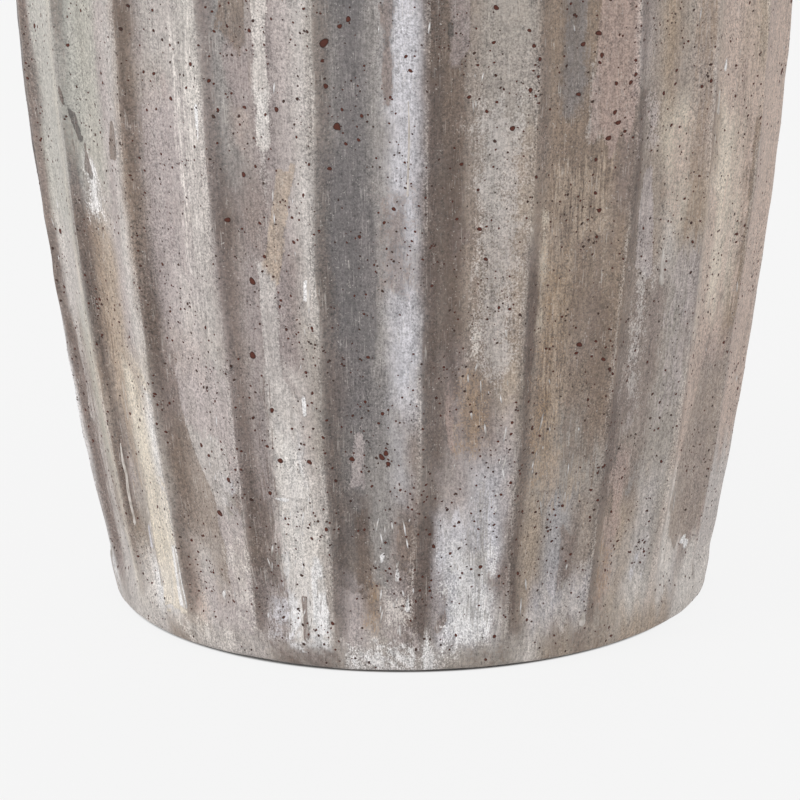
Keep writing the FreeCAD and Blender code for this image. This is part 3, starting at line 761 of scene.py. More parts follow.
FLUTE_E = (
    (SOFT, "slate", 1, (262, 88), (-12.2, -4.4)),
    (SOFT, "warm_grey", 0.8, (262, 200), (-13.2, -10.8)),
    (SOFT, "stone", 0.6, (262, 200), (-11, -9)),
    # The soot right of the left ridge of this flute is partly painted shade
    (SOFT, "soot", 0.5, (186, 156), (-13, -11.6)),
    (SOFT, "soot", 0.4, (112, 88), (-13, -11.8)),
    (SOFT, "stone", 0.9, (262, 88), (-5.4, -2.8)),
    (SOFT, "blue_grey", 0.95, (262, 88), (-2.8, 3)),
    (SOFT, "blue_white", 0.7, (262, 182), (-1.6, 3)),
    (SOFT, "blue_white", 0.7, (150, 100), (-2.2, 1.6)),
    (SOFT, "slate", 0.95, (96, 26), (-13, -6.6)),
    (SOFT, "umber", 0.6, (122, 24), (-13, -9.6)),
    (SOFT, "stone", 0.9, (98, 26), (-6.8, -1.6)),
    (SOFT, "mauve_brown", 0.9, (98, 10), (-0.8, 2.4)),
    (SOFT, "mauve_brown", 0.9, (62, 16), (-2.6, 2)),
    (SOFT, "umber", 0.8, (66, 28), (-9.2, -6.4)),
    (SOFT, "light_mauve", 0.95, (34, 2), (-12.6, -7.4)),
    (SOFT, "light_mauve", 0.95, (36, 16), (-5, -0.8)),
    (SOFT, "tan", 0.8, (36, 22), (-8, -5.2)),
    (SOFT, "slate", 0.7, (114, 90), (-6.8, -2.8)),
    (SOFT, "slate", 0.8, (184, 158), (-6.8, -4.8)),
    (SOFT, "blue_grey", 0.8, (98, 68), (-2.4, 0)),
    (SOFT, "blue_white", 0.8, (184, 166), (-0.8, 2)),
    # The umber at the foot by the ridge between this flute and the next is partly painted shade
    (SOFT, "umber", 0.9, (26, 2), (-0.2, 2.8)),
    (SOFT, "umber", 0.7, (58, 38), (0, 2.4)),
    (SOFT, "stone", 0.6, (94, 72), (-11.2, -9.2)),
    (SOFT, "brown", 0.8, (18, 10), (-0.4, 2.2)),
    (VEIL, "mauve_brown", 0.9, (250, 210), (-3.4, -1.2), (-2.8, -2)),
    (VEIL, "slate", 0.8, (178, 150), (-6.4, -4.2), (-7.4, -4.4)),
    (VEIL, "slate", 0.8, (152, 122), (-6.6, -4.2), (-6.2, -4.2)),
    (STIPPLE, "mauve_brown", 0.8, (180, 146), (-3.6, 0.6)),
    (VEIL, "umber", 0.9, (64, 31), (-9.2, -6.6), (-9, -6.3)),
    (STIPPLE, "ochre", 0.72, (34, 18), (-7.8, -5.2)),
    (VEIL, "light_mauve", 0.9, (97, 72), (-8, -7), (-9.8, -6.8)),
    (WET, "pale_grey", 0.9, (100, 90), (-7.4, -7)),
    (VEIL, "stone", 0.8, (74, 36), (-6.5, -3), (-6.2, -3)),
    (VEIL, "brown", 0.8, (60, 42), (-2, 1.6)),
    (WASH, "light_mauve", 0.9, (32, 12), (-12.2, -8.4)),
    (WET, "chalk", 0.95, (40, 34), (-4.3, -3.8)),
    (WET, "chalk", 0.95, (44, 36), (-2.2, -1.8)),
    (WET, "chalk", 0.95, (37, 24), (-0.4, 0.1), (-0.6, -0.1)),
    (WET, "chalk", 0.9, (48, 44), (-4.8, -4.3)),
    (STIPPLE, "warm_white", 0.66, (34, 16), (-4.8, 0)),
    (WASH, "mauve", 0.8, (18, 11), (-4, 2)),
)
FLUTE_F = (
    # The umber strips right of the left ridge of this flute are partly painted shade
    (SOFT, "umber", 1, (262, 84), (2.4, 5.4)),
    (SOFT, "umber", 0.95, (112, 50), (2.8, 5.8)),
    (SOFT, "umber", 0.95, (54, 10), (1.2, 5.2)),
    (SOFT, "umber", 0.9, (262, 205), (3.6, 6.2)),
    (SOFT, "umber", 0.8, (184, 142), (2.2, 3.6)),
    (SOFT, "brown", 0.95, (262, 92), (5, 9)),
    (SOFT, "umber", 0.5, (212, 160), (5, 8.4)),
    (SOFT, "taupe", 0.9, (262, 150), (9, 11.4)),
    (SOFT, "warm_grey", 0.95, (262, 150), (10.6, 18.6)),
    (SOFT, "tan", 0.85, (176, 92), (8.8, 12)),
    (SOFT, "warm_grey", 0.9, (156, 92), (11.6, 18)),
    (SOFT, "sand", 0.8, (200, 92), (14, 18)),
    (SOFT, "light_mauve", 0.9, (100, 60), (8, 17)),
    (SOFT, "light_mauve", 0.9, (78, 50), (5.2, 16.8)),
    (SOFT, "blue_grey", 0.9, (80, 44), (9.6, 16)),
    (SOFT, "brown", 0.85, (114, 90), (8.6, 13.8)),
    (SOFT, "blue_white", 1, (60, 8), (4.8, 15.8)),
    (SOFT, "mauve_brown", 0.8, (40, 27), (13.8, 18)),
    (SOFT, "mauve_brown", 0.8, (60, 27), (16, 18)),
    (SOFT, "pale_grey", 0.8, (27, 0), (14.6, 18)),
    (SOFT, "mauve", 0.8, (42, 16), (4.4, 6)),
    (SOFT, "taupe", 0.8, (204, 92), (8.8, 10.8)),
    (SOFT, "tan", 0.5, (162, 112), (11, 13.6)),
    (SOFT, "tan", 0.5, (148, 124), (13.4, 16)),
    (SOFT, "stone", 0.8, (54, 26), (9, 10.8)),
    (SOFT, "chalk", 0.8, (56, 42), (6.2, 8.8)),
    (SOFT, "mauve", 0.6, (124, 78), (6, 8.6)),
    (SOFT, "blue_white", 0.8, (74, 56), (11, 13.6)),
    (SOFT, "pale_grey", 0.3, (110, 74), (1.4, 3.9)),
    (SOFT, "pale_grey", 0.35, (18, 9), (1.6, 3.8)),
    (VEIL, "mauve", 0.85, (262, 227), (6, 9.2)),
    (WET, "soot", 1, (240.4, 236.8), (5.8, 6.9)),
    (VEIL, "brown", 0.95, (226, 196), (5.4, 8.2), (5, 8.4)),
    (VEIL, "mauve_brown", 0.8, (172, 158), (6, 9.6)),
    (STIPPLE, "umber", 0.8, (196, 118), (4.8, 8)),
    (VEIL, "umber", 0.8, (126, 108), (5.2, 7), (6.8, 8.4)),
    (VEIL, "rosy", 0.9, (110, 90), (5.6, 6.6), (5.8, 7.4)),
    (STIPPLE, "ochre", 0.66, (118, 84), (7.6, 12)),
    (WET, "cream", 0.9, (105, 95), (10.7, 11), (10.8, 11.1)),
    (WET, "sand", 0.9, (105, 92), (8.9, 9.2)),
    (STIPPLE, "pale_grey", 0.7, (214, 112), (9.6, 17.2), (10.4, 16.6)),
    (STIPPLE, "warm_white", 0.7, (134, 118), (9.4, 12.4)),
    (WASH, "blue_white", 0.95, (58, 38), (5, 9.4)),
    (WASH, "chalk", 1, (32, 13), (7.4, 14.8), (7.6, 14.2)),
    (VEIL, "blue_grey", 0.8, (46, 27), (9.2, 10.4)),
    (STIPPLE, "chalk", 0.8, (50, 10), (6, 14.6), (7, 14.4)),
    (VEIL, "mauve_brown", 0.9, (35, 18), (6.2, 6.6), (4.6, 7.4)),
    # The umber at the foot by the left ridge of this flute is partly painted shade
    (VEIL, "umber", 0.9, (60, 13), (2, 4.2), (0.6, 2.6)),
    (STIPPLE, "mauve_brown", 0.8, (40, 28), (13, 17.4)),
    (VEIL, "umber", 0.95, (55, 17), (17, 18.6), (18, 19.4)),
    (DRY, "stone", 0.62, (70, 14), (10.4, 13.6)),
)
FLUTE_G = (
    # The umber strip right of the left ridge of this flute is partly painted shade
    (SOFT, "umber", 0.95, (160, 8), (18, 19.8)),
    (SOFT, "brown", 0.9, (262, 196), (18.8, 20.4)),
    (SOFT, "sand", 0.8, (200, 164), (17.8, 20.4)),
    (SOFT, "tan", 0.95, (262, 84), (19.8, 35)),
    (SOFT, "sand", 0.4, (170, 90), (24.6, 30)),
    (SOFT, "sand", 0.8, (164, 128), (19.8, 22.8)),
    (SOFT, "brown", 0.7, (196, 172), (27.4, 29.8)),
    (SOFT, "mauve_brown", 0.8, (198, 168), (31.4, 35)),
    (SOFT, "sand", 0.6, (172, 146), (29, 31.6)),
    (SOFT, "brown", 0.45, (146, 100), (28, 34)),
    (SOFT, "warm_grey", 0.9, (98, 50), (22.4, 29.6)),
    (SOFT, "sand", 0.9, (66, 18), (19.4, 24)),
    (SOFT, "blue_grey", 0.9, (74, 24), (23.8, 28.6)),
    (SOFT, "mauve_brown", 0.8, (62, 32), (28.6, 31)),
    (SOFT, "taupe", 0.9, (66, 28), (30.6, 34)),
    (SOFT, "light_mauve", 1, (30, 14), (22.6, 34)),
    (SOFT, "blue_white", 0.9, (28, 14), (23, 34)),
    (SOFT, "brown", 0.7, (200, 162), (22.4, 27)),
    (SOFT, "brown", 0.6, (114, 90), (20.4, 24.4)),
    (SOFT, "warm_grey", 0.9, (94, 66), (25, 28.4)),
    (SOFT, "sand", 0.6, (164, 142), (29.8, 32)),
    (SOFT, "taupe", 0.8, (18, 6), (30, 31.8)),
    (SOFT, "brown", 0.5, (18, 9), (25, 32)),
    (VEIL, "rosy", 0.95, (262, 197), (28.4, 35), (26.8, 34.6)),
    (VEIL, "rosy", 0.95, (202, 193), (29.6, 32.4), (29.8, 32)),
    (WASH, "pale_grey", 0.9, (222, 198), (26.8, 28.4)),
    (WASH, "pink_cream", 0.8, (210, 196), (32, 34.6)),
    (WASH, "iron_grey", 0.75, (262, 206), (22, 26.4)),
    (WASH, "cream", 0.85, (172, 130), (20.1, 20.9), (20, 20.8)),
    (VEIL, "umber", 0.9, (151, 104), (18.1, 19.8), (17.9, 19.6)),
    (STIPPLE, "ochre", 0.66, (160, 70), (20.4, 25)),
    (WASH, "ochre", 0.6, (108, 84), (21, 23.4)),
    (STIPPLE, "pale_grey", 0.72, (32, 14), (22, 32.6)),
    (STIPPLE, "chalk", 0.7, (27, 20), (23.6, 26.6)),
    (DRY, "sand", 0.62, (190, 60), (21.4, 31)),
    (DRY, "brown", 0.62, (170, 70), (24, 33)),
    (VEIL, "mauve_brown", 0.8, (53, 29), (26.8, 30.4), (26.7, 29.6)),
    (SOFT, "taupe", 0.8, (20, 8), (27.2, 29.6)),
    (SOFT, "pale_grey", 0.9, (22, 8), (31.8, 34.2)),
)
FLUTE_H = (
    # The umber strips right of the left ridge of this flute are partly painted shade
    (SOFT, "umber", 0.95, (212, 70), (34.8, 36.4)),
    (SOFT, "light_mauve", 0.7, (262, 214), (34, 38)),
    (SOFT, "umber", 0.95, (98, 44), (34.2, 36.6)),
    (SOFT, "umber", 0.9, (48, 8), (34, 35.4)),
    (SOFT, "taupe", 0.9, (262, 146), (36.4, 39.4)),
    (SOFT, "sand", 0.95, (262, 142), (39, 52)),
    (SOFT, "ochre", 0.4, (262, 204), (39.4, 42)),
    (SOFT, "taupe", 0.8, (262, 200), (42, 44)),
    (SOFT, "warm_grey", 0.8, (262, 200), (44, 51.6)),
    (SOFT, "cream", 0.7, (204, 164), (40, 46.6)),
    (SOFT, "warm_grey", 0.9, (152, 96), (43, 51)),
    (SOFT, "taupe", 0.9, (150, 84), (36, 43.4)),
    (SOFT, "mauve", 0.7, (150, 108), (48, 51.4)),
    (SOFT, "mauve_brown", 0.7, (146, 84), (40, 42.8)),
    (SOFT, "warm_grey", 0.9, (100, 56), (42, 51)),
    (SOFT, "taupe", 0.9, (88, 58), (36, 42.4)),
    (SOFT, "sand", 0.9, (64, 16), (35.4, 44)),
    (SOFT, "pale_grey", 0.85, (66, 20), (42.6, 48)),
    (SOFT, "warm_grey", 0.6, (54, 26), (47.8, 50.8)),
    (SOFT, "warm_white", 0.8, (28, 2), (42.6, 51)),
    (SOFT, "pink_cream", 0.6, (262, 178), (45, 50.8)),
    (SOFT, "mauve_brown", 0.8, (144, 94), (36.4, 39)),
    (SOFT, "pale_grey", 0.6, (42, 24), (36.4, 41.4)),
    (SOFT, "taupe", 0.8, (180, 162), (39, 41.4)),
    (SOFT, "mauve_brown", 0.7, (74, 56), (39, 41.6)),
    (SOFT, "warm_white", 0.7, (162, 144), (41.4, 44)),
    (SOFT, "umber", 0.75, (90, 56), (34, 36.3)),
    (VEIL, "umber", 0.8, (214, 176), (35, 36.6), (35, 36.2)),
    (STIPPLE, "light_mauve", 0.8, (207, 192), (36.6, 38.6)),
    (VEIL, "light_mauve", 0.95, (181, 145), (36.4, 38.4), (36.2, 39.8)),
    (STIPPLE, "pale_grey", 0.6, (146, 96), (36.4, 39.6), (36.2, 39.4)),
    (WASH, "light_mauve", 0.85, (96, 84), (38.2, 39.4), (37.4, 38.8)),
    (STIPPLE, "pink_cream", 0.7, (200, 165), (41, 46)),
    (WASH, "tan", 0.7, (178, 158), (40, 41.4)),
    (WASH, "rosy", 0.75, (80, 14), (35.8, 39.8), (35.4, 38.6)),
    (STIPPLE, "ochre", 0.7, (40, 18), (35.6, 38)),
    (WASH, "stone", 0.7, (74, 60), (39.8, 42)),
    (WASH, "blue_white", 0.9, (40, 27), (44, 47.4)),
    (VEIL, "pale_grey", 0.85, (60, 28), (45.2, 46.2), (45.4, 48)),
    (WET, "chalk", 0.9, (16.5, 12), (33, 34.2)),
    (DRY, "light_mauve", 0.6, (150, 88), (44, 49.4)),
    (DRY, "tan", 0.6, (262, 150), (45, 50)),
)
FLUTE_I = (
    (SOFT, "pink_cream", 0.95, (262, 90), (51.6, 58)),
    (SOFT, "pink_cream", 0.95, (262, 104), (56.4, 62.6)),
    (SOFT, "sand", 0.95, (262, 104), (60.6, 67)),
    (SOFT, "cream", 0.7, (196, 124), (52, 60)),
    (SOFT, "tan", 0.8, (188, 104), (61, 67)),
    (SOFT, "pink_cream", 0.9, (208, 188), (61.4, 66.4)),
    (SOFT, "rosy", 0.9, (108, 30), (54.6, 66.8)),
    (SOFT, "taupe", 0.6, (104, 34), (54.6, 66.8)),
    (SOFT, "pink_cream", 1, (106, 8), (50.8, 54.4), (50.4, 53)),
    (SOFT, "pale_grey", 1, (34, 4), (51.8, 58)),
    (SOFT, "warm_white", 1, (33, 8), (52.4, 57.4)),
    (SOFT, "pale_grey", 0.95, (24, -4), (56, 67)),
    (SOFT, "warm_white", 0.95, (30, 4), (61.8, 67)),
    (SOFT, "sand", 0.6, (262, 180), (57.4, 59.8)),
    (SOFT, "tan", 0.6, (198, 178), (51.2, 52.6)),
    (SOFT, "pink_cream", 0.9, (56, 14), (50.8, 53.4)),
    (SOFT, "cream", 0.6, (162, 126), (59.6, 62)),
    (SOFT, "mauve", 0.8, (26, 0), (59.2, 61.8)),
    (SOFT, "pink_cream", 0.8, (94, 70), (53, 55.4)),
    (SOFT, "taupe", 0.6, (108, 92), (64, 67)),
    (SOFT, "warm_white", 0.8, (62, 10), (50.8, 54.4)),
    (SOFT, "brown", 0.5, (40, 16), (59.6, 61.9)),
    (VEIL, "tan", 0.9, (186, 112), (61.8, 66.4), (62.4, 66.8)),
    (VEIL, "taupe", 0.9, (131, 107), (58.4, 59.8), (55.4, 56.4)),
    (VEIL, "taupe", 0.95, (102, 70), (55.6, 67), (53.2, 67)),
    (VEIL, "taupe", 0.95, (74, 48), (53.4, 66.6), (52.3, 66)),
    (VEIL, "taupe", 0.95, (52, 34), (52.3, 66), (54.4, 64)),
    (WASH, "pink_cream", 1, (168, 128), (51.8, 54)),
    (WASH, "rosy", 0.7, (214, 190), (57, 60)),
    (WASH, "warm_white", 0.9, (44, 24), (51, 52.4), (52.6, 55)),
    (WASH, "warm_white", 0.9, (26, 14), (53, 56.4)),
    # These two chalk wet marks are glossy glaze whose white is partly a painted highlight
    (WET, "chalk", 0.95, (34, 31), (58.8, 60.4)),
    (WET, "chalk", 0.95, (31.5, 28.5), (60, 62.4)),
    (WASH, "warm_white", 0.9, (28, 18), (62, 66)),
    (WET, "chalk", 0.9, (217, 211), (52.7, 53.2)),
    (DRY, "pink_cream", 0.62, (226, 120), (56, 64)),
)
FLUTE_J = (
    (SOFT, "rosy", 0.9, (262, 8), (66.8, 84)),
    (SOFT, "pink_cream", 0.9, (262, 40), (67.2, 84)),
    (SOFT, "pale_grey", 0.9, (60, -4), (67, 84)),
)
FOOT_BAND = (
    (SOFT, "warm_grey", 0.95, (7, -12), (-180, 180)),
    (SOFT, "pale_grey", 0.8, (9, -12), (-82, -52)),
    (SOFT, "taupe", 0.8, (10, -12), (-52.4, -46)),
    (SOFT, "pale_grey", 0.75, (9, -12), (-45, -28)),
    (SOFT, "warm_white", 0.4, (12, -12), (-66, -58)),
    (SOFT, "mauve_brown", 0.7, (7, -12), (-25, -14)),
    (SOFT, "pale_grey", 0.6, (9, -12), (-12, 6)),
    (SOFT, "warm_grey", 0.8, (9, -12), (9, 20)),
    (SOFT, "warm_white", 0.7, (10, -12), (20, 25)),
    (SOFT, "sand", 0.7, (10, -12), (25, 42)),
    (SOFT, "sand", 0.9, (12, -12), (43, 60)),
    (SOFT, "warm_white", 0.8, (20, -12), (60, 84)),
    (STIPPLE, "mauve_brown", 0.6, (10, -2), (-52, -46)),
    (STIPPLE, "umber", 0.6, (10, -2), (-26, -12)),
    (STIPPLE, "chalk", 0.78, (10, 0), (-12, 6)),
    (STIPPLE, "warm_white", 0.66, (11, 1), (-50, -34)),
    (STIPPLE, "brown", 0.6, (10, 0), (10, 20)),
    (STIPPLE, "warm_white", 0.66, (10, 0), (21, 25)),
    (STIPPLE, "brown", 0.6, (9, 0), (26, 40)),
)
SEEN_MARKS = (
    FLUTE_A + FLUTE_B + FLUTE_C + FLUTE_D + FLUTE_E + FLUTE_F + FLUTE_G + FLUTE_H + FLUTE_I + FLUTE_J
    + FOOT_BAND
)

# Colours that go together on one flute: in the dark strip, in the middle and by the next ridge. The dark
# strip is partly painted shade, and the light edge by the next ridge partly a painted highlight.
TONES = (
    ("umber", "mauve", "light_mauve"),
    ("mauve_brown", "taupe", "warm_grey"),
    ("slate", "stone", "blue_grey"),
    ("umber", "warm_grey", "cream"),
    ("mauve_brown", "taupe", "pink_cream"),
    ("brown", "tan", "sand"),
    ("soot", "mauve", "pale_grey"),
)
OVERLAYS = (
    (WASH, ("pale_grey", "blue_grey", "warm_white", "light_mauve", "warm_grey", "mauve_brown"), 0.85),
    (VEIL, ("mauve_brown", "rosy", "taupe", "pink_cream", "pale_grey", "blue_grey"), 0.75),
    (DRY, ("warm_white", "pale_grey", "umber", "warm_grey"), 0.62),
    (STIPPLE, ("chalk", "sand", "umber", "warm_grey", "blue_white", "mauve_brown"), 0.66),
)

# Where the marks of the seen side end: the level of their highest tops, by how much those are moved to
# break up the line, the lowest level of improvised marks, and the angles of the seen flutes
SEEN_TOP = 254
TOP_SHIFTS = (-4, 70)
LOWEST_MARK = 8
SEEN_FLUTES = (-76, 80)

# Ranges for improvised marks. Starts, widths, leans and tapers are shares of a flute or of the mark.
STROKE_LENGTHS = (40, 110)
STROKE_SHARE = 0.72
STROKE_STARTS = (0.08, 0.75)
STROKE_WIDTHS = (0.12, 0.42)
STROKE_LEAN = 0.12
STROKE_TAPERS = (0, 0.7)
STROKE_TOP_SHIFTS = (-15, 25)
STROKE_FOOT_SHIFTS = (-15, 15)
LAST_EDGE = 0.97

# Half widths of the soft side and end of each kind of mark
RAMPS = {SOFT: (4, 10), WASH: (3, 6), VEIL: (2.2, 3.0), DRY: (3, 8), STIPPLE: (5, 7), WET: (1.2, 2)}
# How far the sides of a mark sway and how ragged its ends are, and over what lengths
SIDE_SWAY = 0.5
SIDE_SWAY_LENGTH = 26
END_RAGGED = 3.0
WET_END_RAGGED = 0.5
END_RAGGED_LENGTH = 9
END_MARGIN = 6

# Dirt and painted shade in the crease right of a ridge, and wear and a painted highlight on the ridge, as
# widths
CREASE_PLACE = 2.2 * MM
CREASE_WIDTH = 4.2 * MM
CREASE_WIDTH_DRIFT = 1.2 * MM
CREST_WIDTH = 3.2 * MM
CREASE_START = 6 * MM
CREASE_FADE_SHARE = 0.5
EDGE_WAVES = 0.25


def improvised(index, low, high, draw):
    """Marks in the same hand for a stretch of a flute that the photograph doesn't show."""
    shifts = RIDGE_SHIFT_SHARES + RIDGE_SHIFT_SHARES[:1]
    left = FIRST_RIDGE + PITCH * (index + shifts[index])
    right = FIRST_RIDGE + PITCH * (index + 1 + shifts[index + 1])

    def span(start, end):
        return (left + (right - left) * start, left + (right - left) * end)

    # The dark tone right of the left ridge is partly painted shade, the light one by the next ridge partly a
    # painted highlight
    dark, middle, light = TONES[draw.randint(len(TONES))]
    marks = [
        (SOFT, dark, 0.85, (high, low), span(-0.04, 0.2)),
        (SOFT, middle, 0.85, (high, low), span(0.2, 0.62)),
        (SOFT, light, 0.85, (high, low), span(0.6, LAST_EDGE)),
    ]
    top = high
    while top > low + 20:
        foot = max(low, top - draw.uniform(*STROKE_LENGTHS))
        for kind, names, strength in OVERLAYS:
            if draw.uniform() > STROKE_SHARE:
                continue
            start = draw.uniform(*STROKE_STARTS)
            end = min(LAST_EDGE, start + draw.uniform(*STROKE_WIDTHS))
            lean = draw.uniform(-STROKE_LEAN, STROKE_LEAN)
            taper = (end - start) * draw.uniform(*STROKE_TAPERS)
            name = names[draw.randint(len(names))]
            upper = top + draw.uniform(*STROKE_TOP_SHIFTS)
            lower = max(low, foot + draw.uniform(*STROKE_FOOT_SHIFTS))
            edges = span(start, end), span(start + lean, end + lean - taper)
            marks.append((kind, name, strength, (upper, lower), *edges))
        top = foot
    return marks


def all_marks():
    """Listed marks of the seen side, after improvised ones for the rest."""
    draw = np.random.RandomState(23)
    top = (LIP_TOP - FOOT_LOW) / MM
    marks = []
    for index in range(FLUTES):
        middle = wrapped(FIRST_RIDGE + PITCH * (index + 0.5))
        seen = SEEN_FLUTES[0] < middle < SEEN_FLUTES[1]
        marks += improvised(index, SEEN_TOP if seen else LOWEST_MARK, top, draw)
    for kind, name, strength, (upper, lower), *edges in SEEN_MARKS:
        if upper > SEEN_TOP and len(edges) == 1:
            upper += draw.uniform(*TOP_SHIFTS)
        marks.append((kind, name, strength, (upper, lower), *edges))
    return marks


MARKS = all_marks()


def mark_cover(number, kind, ends, edges, arc, angle, level):
    """Cover of one mark, from 0 to 1, at flat arrays of points near it."""
    side_ramp, end_ramp = RAMPS[kind]
    top, foot = ends
    upper, lower = edges[0], edges[-1]
    share = np.clip((top - level) / (top - foot), 0, 1)
    left = upper[0] + (lower[0] - upper[0]) * share
    right = upper[1] + (lower[1] - upper[1]) * share
    off = np.abs(wrapped(angle - (left + right) / 2))
    sway = SIDE_SWAY * drift(level, 1000 + number, SIDE_SWAY_LENGTH)
    side = ((right - left) / 2 - off) * arc + sway
    depth = WET_END_RAGGED if kind == WET else END_RAGGED
    ragged = depth * drift(angle * arc, 2000 + number, END_RAGGED_LENGTH)
    end = np.minimum(top - level, level - foot) + ragged
    return np.minimum(np.clip(0.5 + side / (2 * side_ramp), 0, 1), np.clip(0.5 + end / (2 * end_ramp), 0, 1))


def paint(angle, height, radius):
    """Colour of the ground and coverage of every layer over it at flat arrays of points, from the marks."""
    arc = np.radians(1) * np.maximum(ridge_radius(height), SEAT_RADIUS) / MM
    angle, level = as_read(angle, height, radius)
    ground = np.tile(linear("warm_grey"), (len(angle), 1))
    layers = {kind: np.zeros((len(angle), 4)) for kind in (WASH, VEIL, DRY, STIPPLE, WET)}
    for number, (kind, name, strength, (top, foot), *edges) in enumerate(MARKS):
        reach = RAMPS[kind][1] + END_MARGIN
        near = np.nonzero((level < top + reach) & (level > foot - reach))[0]
        if len(near) == 0:
            continue
        cover = mark_cover(number, kind, (top, foot), edges, arc[near], angle[near], level[near])
        if kind == SOFT:
            blend = (strength * cover * cover * (3 - 2 * cover))[:, None]
            ground[near] += (linear(name) - ground[near]) * blend
            continue
        layer = layers[kind]
        cover = cover * strength
        won = near[(cover >= layer[near, 3]) & (cover > 0)]
        layer[won, :3] = linear(name)
        layer[near, 3] = np.maximum(layer[near, 3], cover)
    return ground, layers


def edge_shares(angle, height):
    """How much of the crease right of a ridge, darkened by dirt and painted shade, and of the ridge itself,
    lightened by wear and a painted highlight, lies at each point.
    """
    number, from_left, to_right = flute_place(angle, height)
    fade = 1 - ease(CREASE_FADE_SHARE * FLUTE_END_ANGLE, FLUTE_END_ANGLE, shoulder_turn(height))
    fade = fade * ease(BAND_TOP, BAND_TOP + CREASE_START, height)
    width = CREASE_WIDTH + CREASE_WIDTH_DRIFT * drift(height, 88, 60 * MM)
    crease_dirt_and_shade = np.exp(-((from_left - CREASE_PLACE) / width) ** 2) * fade
    crest_wear_and_highlight = np.exp(-(to_right / CREST_WIDTH) ** 2) * fade
    strength = 1 - EDGE_WAVES + EDGE_WAVES * waves(angle, height, 91, 80 * MM)
    return crease_dirt_and_shade * strength, crest_wear_and_highlight * strength


# Meshes

# Waves of the neck and lip, in depth and length
PLAIN_WAVES = 0.25 * MM
PLAIN_WAVE_LENGTH = 60 * MM
# Lowest point of what stands off the wall
LOWEST_POINT = 0.3 * MM
# Type and field of a vertex attribute with this many numbers
ATTRIBUTE_FORMS = {1: ("FLOAT", "value"), 3: ("FLOAT_VECTOR", "vector"), 4: ("FLOAT_COLOR", "color")}


def add_piece(name, points, faces, *materials):
    """Put a smooth mesh into the scene."""
    mesh = bpy.data.meshes.new(name)
    mesh.from_pydata(points, [], faces)
    mesh.polygons.foreach_set("use_smooth", np.ones(len(faces), dtype=bool))
    for material in materials:
        mesh.materials.append(material)
    item = bpy.data.objects.new(name, mesh)
    bpy.context.scene.collection.objects.link(item)
    return item


def set_attributes(mesh, given):
    """Store values for each vertex. Vertices past the last value, the poles, get 0."""
    for name, values in given.items():
        values = values.reshape(len(values), -1)
        kind, field = ATTRIBUTE_FORMS[values.shape[1]]
        filled = np.zeros((len(mesh.vertices), values.shape[1]), dtype=np.float32)
        filled[:len(values)] = values
        mesh.attributes.new(name, kind, "POINT").data.foreach_set(field, filled.ravel())


def column_shares():
    """Places of the columns across a flute, crowded towards its ridges."""
    even = np.arange(COLUMNS_PER_FLUTE) / COLUMNS_PER_FLUTE
    return even - CROWDING * np.sin(2 * math.pi * even) / (2 * math.pi)


def column_angles(height):
    """Angles of all columns at each height, as rows of one array."""
    ridges = ridge_angles(np.minimum(height, SEAT))
    left = ridges[:-1].T[:, :, None]
    right = ridges[1:].T[:, :, None]
    return (left + (right - left) * column_shares()).reshape(len(height), -1)


def climbs(rows):
    """Length along the vase's outline to each row. Off the wall it is counted on from the nearest row of
    the wall before it, or from the collar's seat."""
    at = CLIMB_LENGTHS[-1]
    made = []
    for index, (radius, height, skin) in enumerate(rows):
        if skin == GLAZED_WALL:
            at = float(np.interp(height, CLIMB_HEIGHTS, CLIMB_LENGTHS))
        elif index:
            at += math.hypot(radius - rows[index - 1][0], height - rows[index - 1][1])
        made.append(at)
    return np.array(made)


def sharp_rings(rows, closed):
    """Rows at which the profile turns a corner."""
    count = len(rows)
    found = []
    for at in range(count):
        if not closed and at in (0, count - 1):
            continue
        before, here, after = (rows[(at + step) % count][:2] for step in (-1, 0, 1))
        first = math.atan2(here[1] - before[1], here[0] - before[0])
        second = math.atan2(after[1] - here[1], after[0] - here[0])
        if abs((second - first + math.pi) % (2 * math.pi) - math.pi) > SHARP_TURN:
            found.append(at)
    return found


def mark_sharp(mesh, columns, sharp_rows):
    """Keep the edges round the vase sharp where its profile turns a corner."""
    ends = np.empty(len(mesh.edges) * 2, dtype=np.int32)
    mesh.edges.foreach_get("vertices", ends)
    first, second = ends.reshape(-1, 2).T // columns
    layer = mesh.attributes.new("sharp_edge", "BOOLEAN", "EDGE")
    layer.data.foreach_set("value", (first == second) & np.isin(first, sharp_rows))


def turned_faces(count, columns, poles):
    """Faces between the rings of a turned mesh, closed from the last ring to the first one, or by two
    pole points that follow the rings."""
    at = np.arange(count * columns).reshape(count, columns)
    following = np.roll(at, -1, axis=1)
    faces = []
    for low in range(count - 1 if poles else count):
        high = (low + 1) % count
        faces += np.stack([at[low], following[low], following[high], at[high]], axis=1).tolist()
    if poles:
        first, last = at.size, at.size + 1
        faces += [[first, b, a] for a, b in zip(at[0], following[0])]
        faces += [[last, a, b] for a, b in zip(at[-1], following[-1])]
    return faces


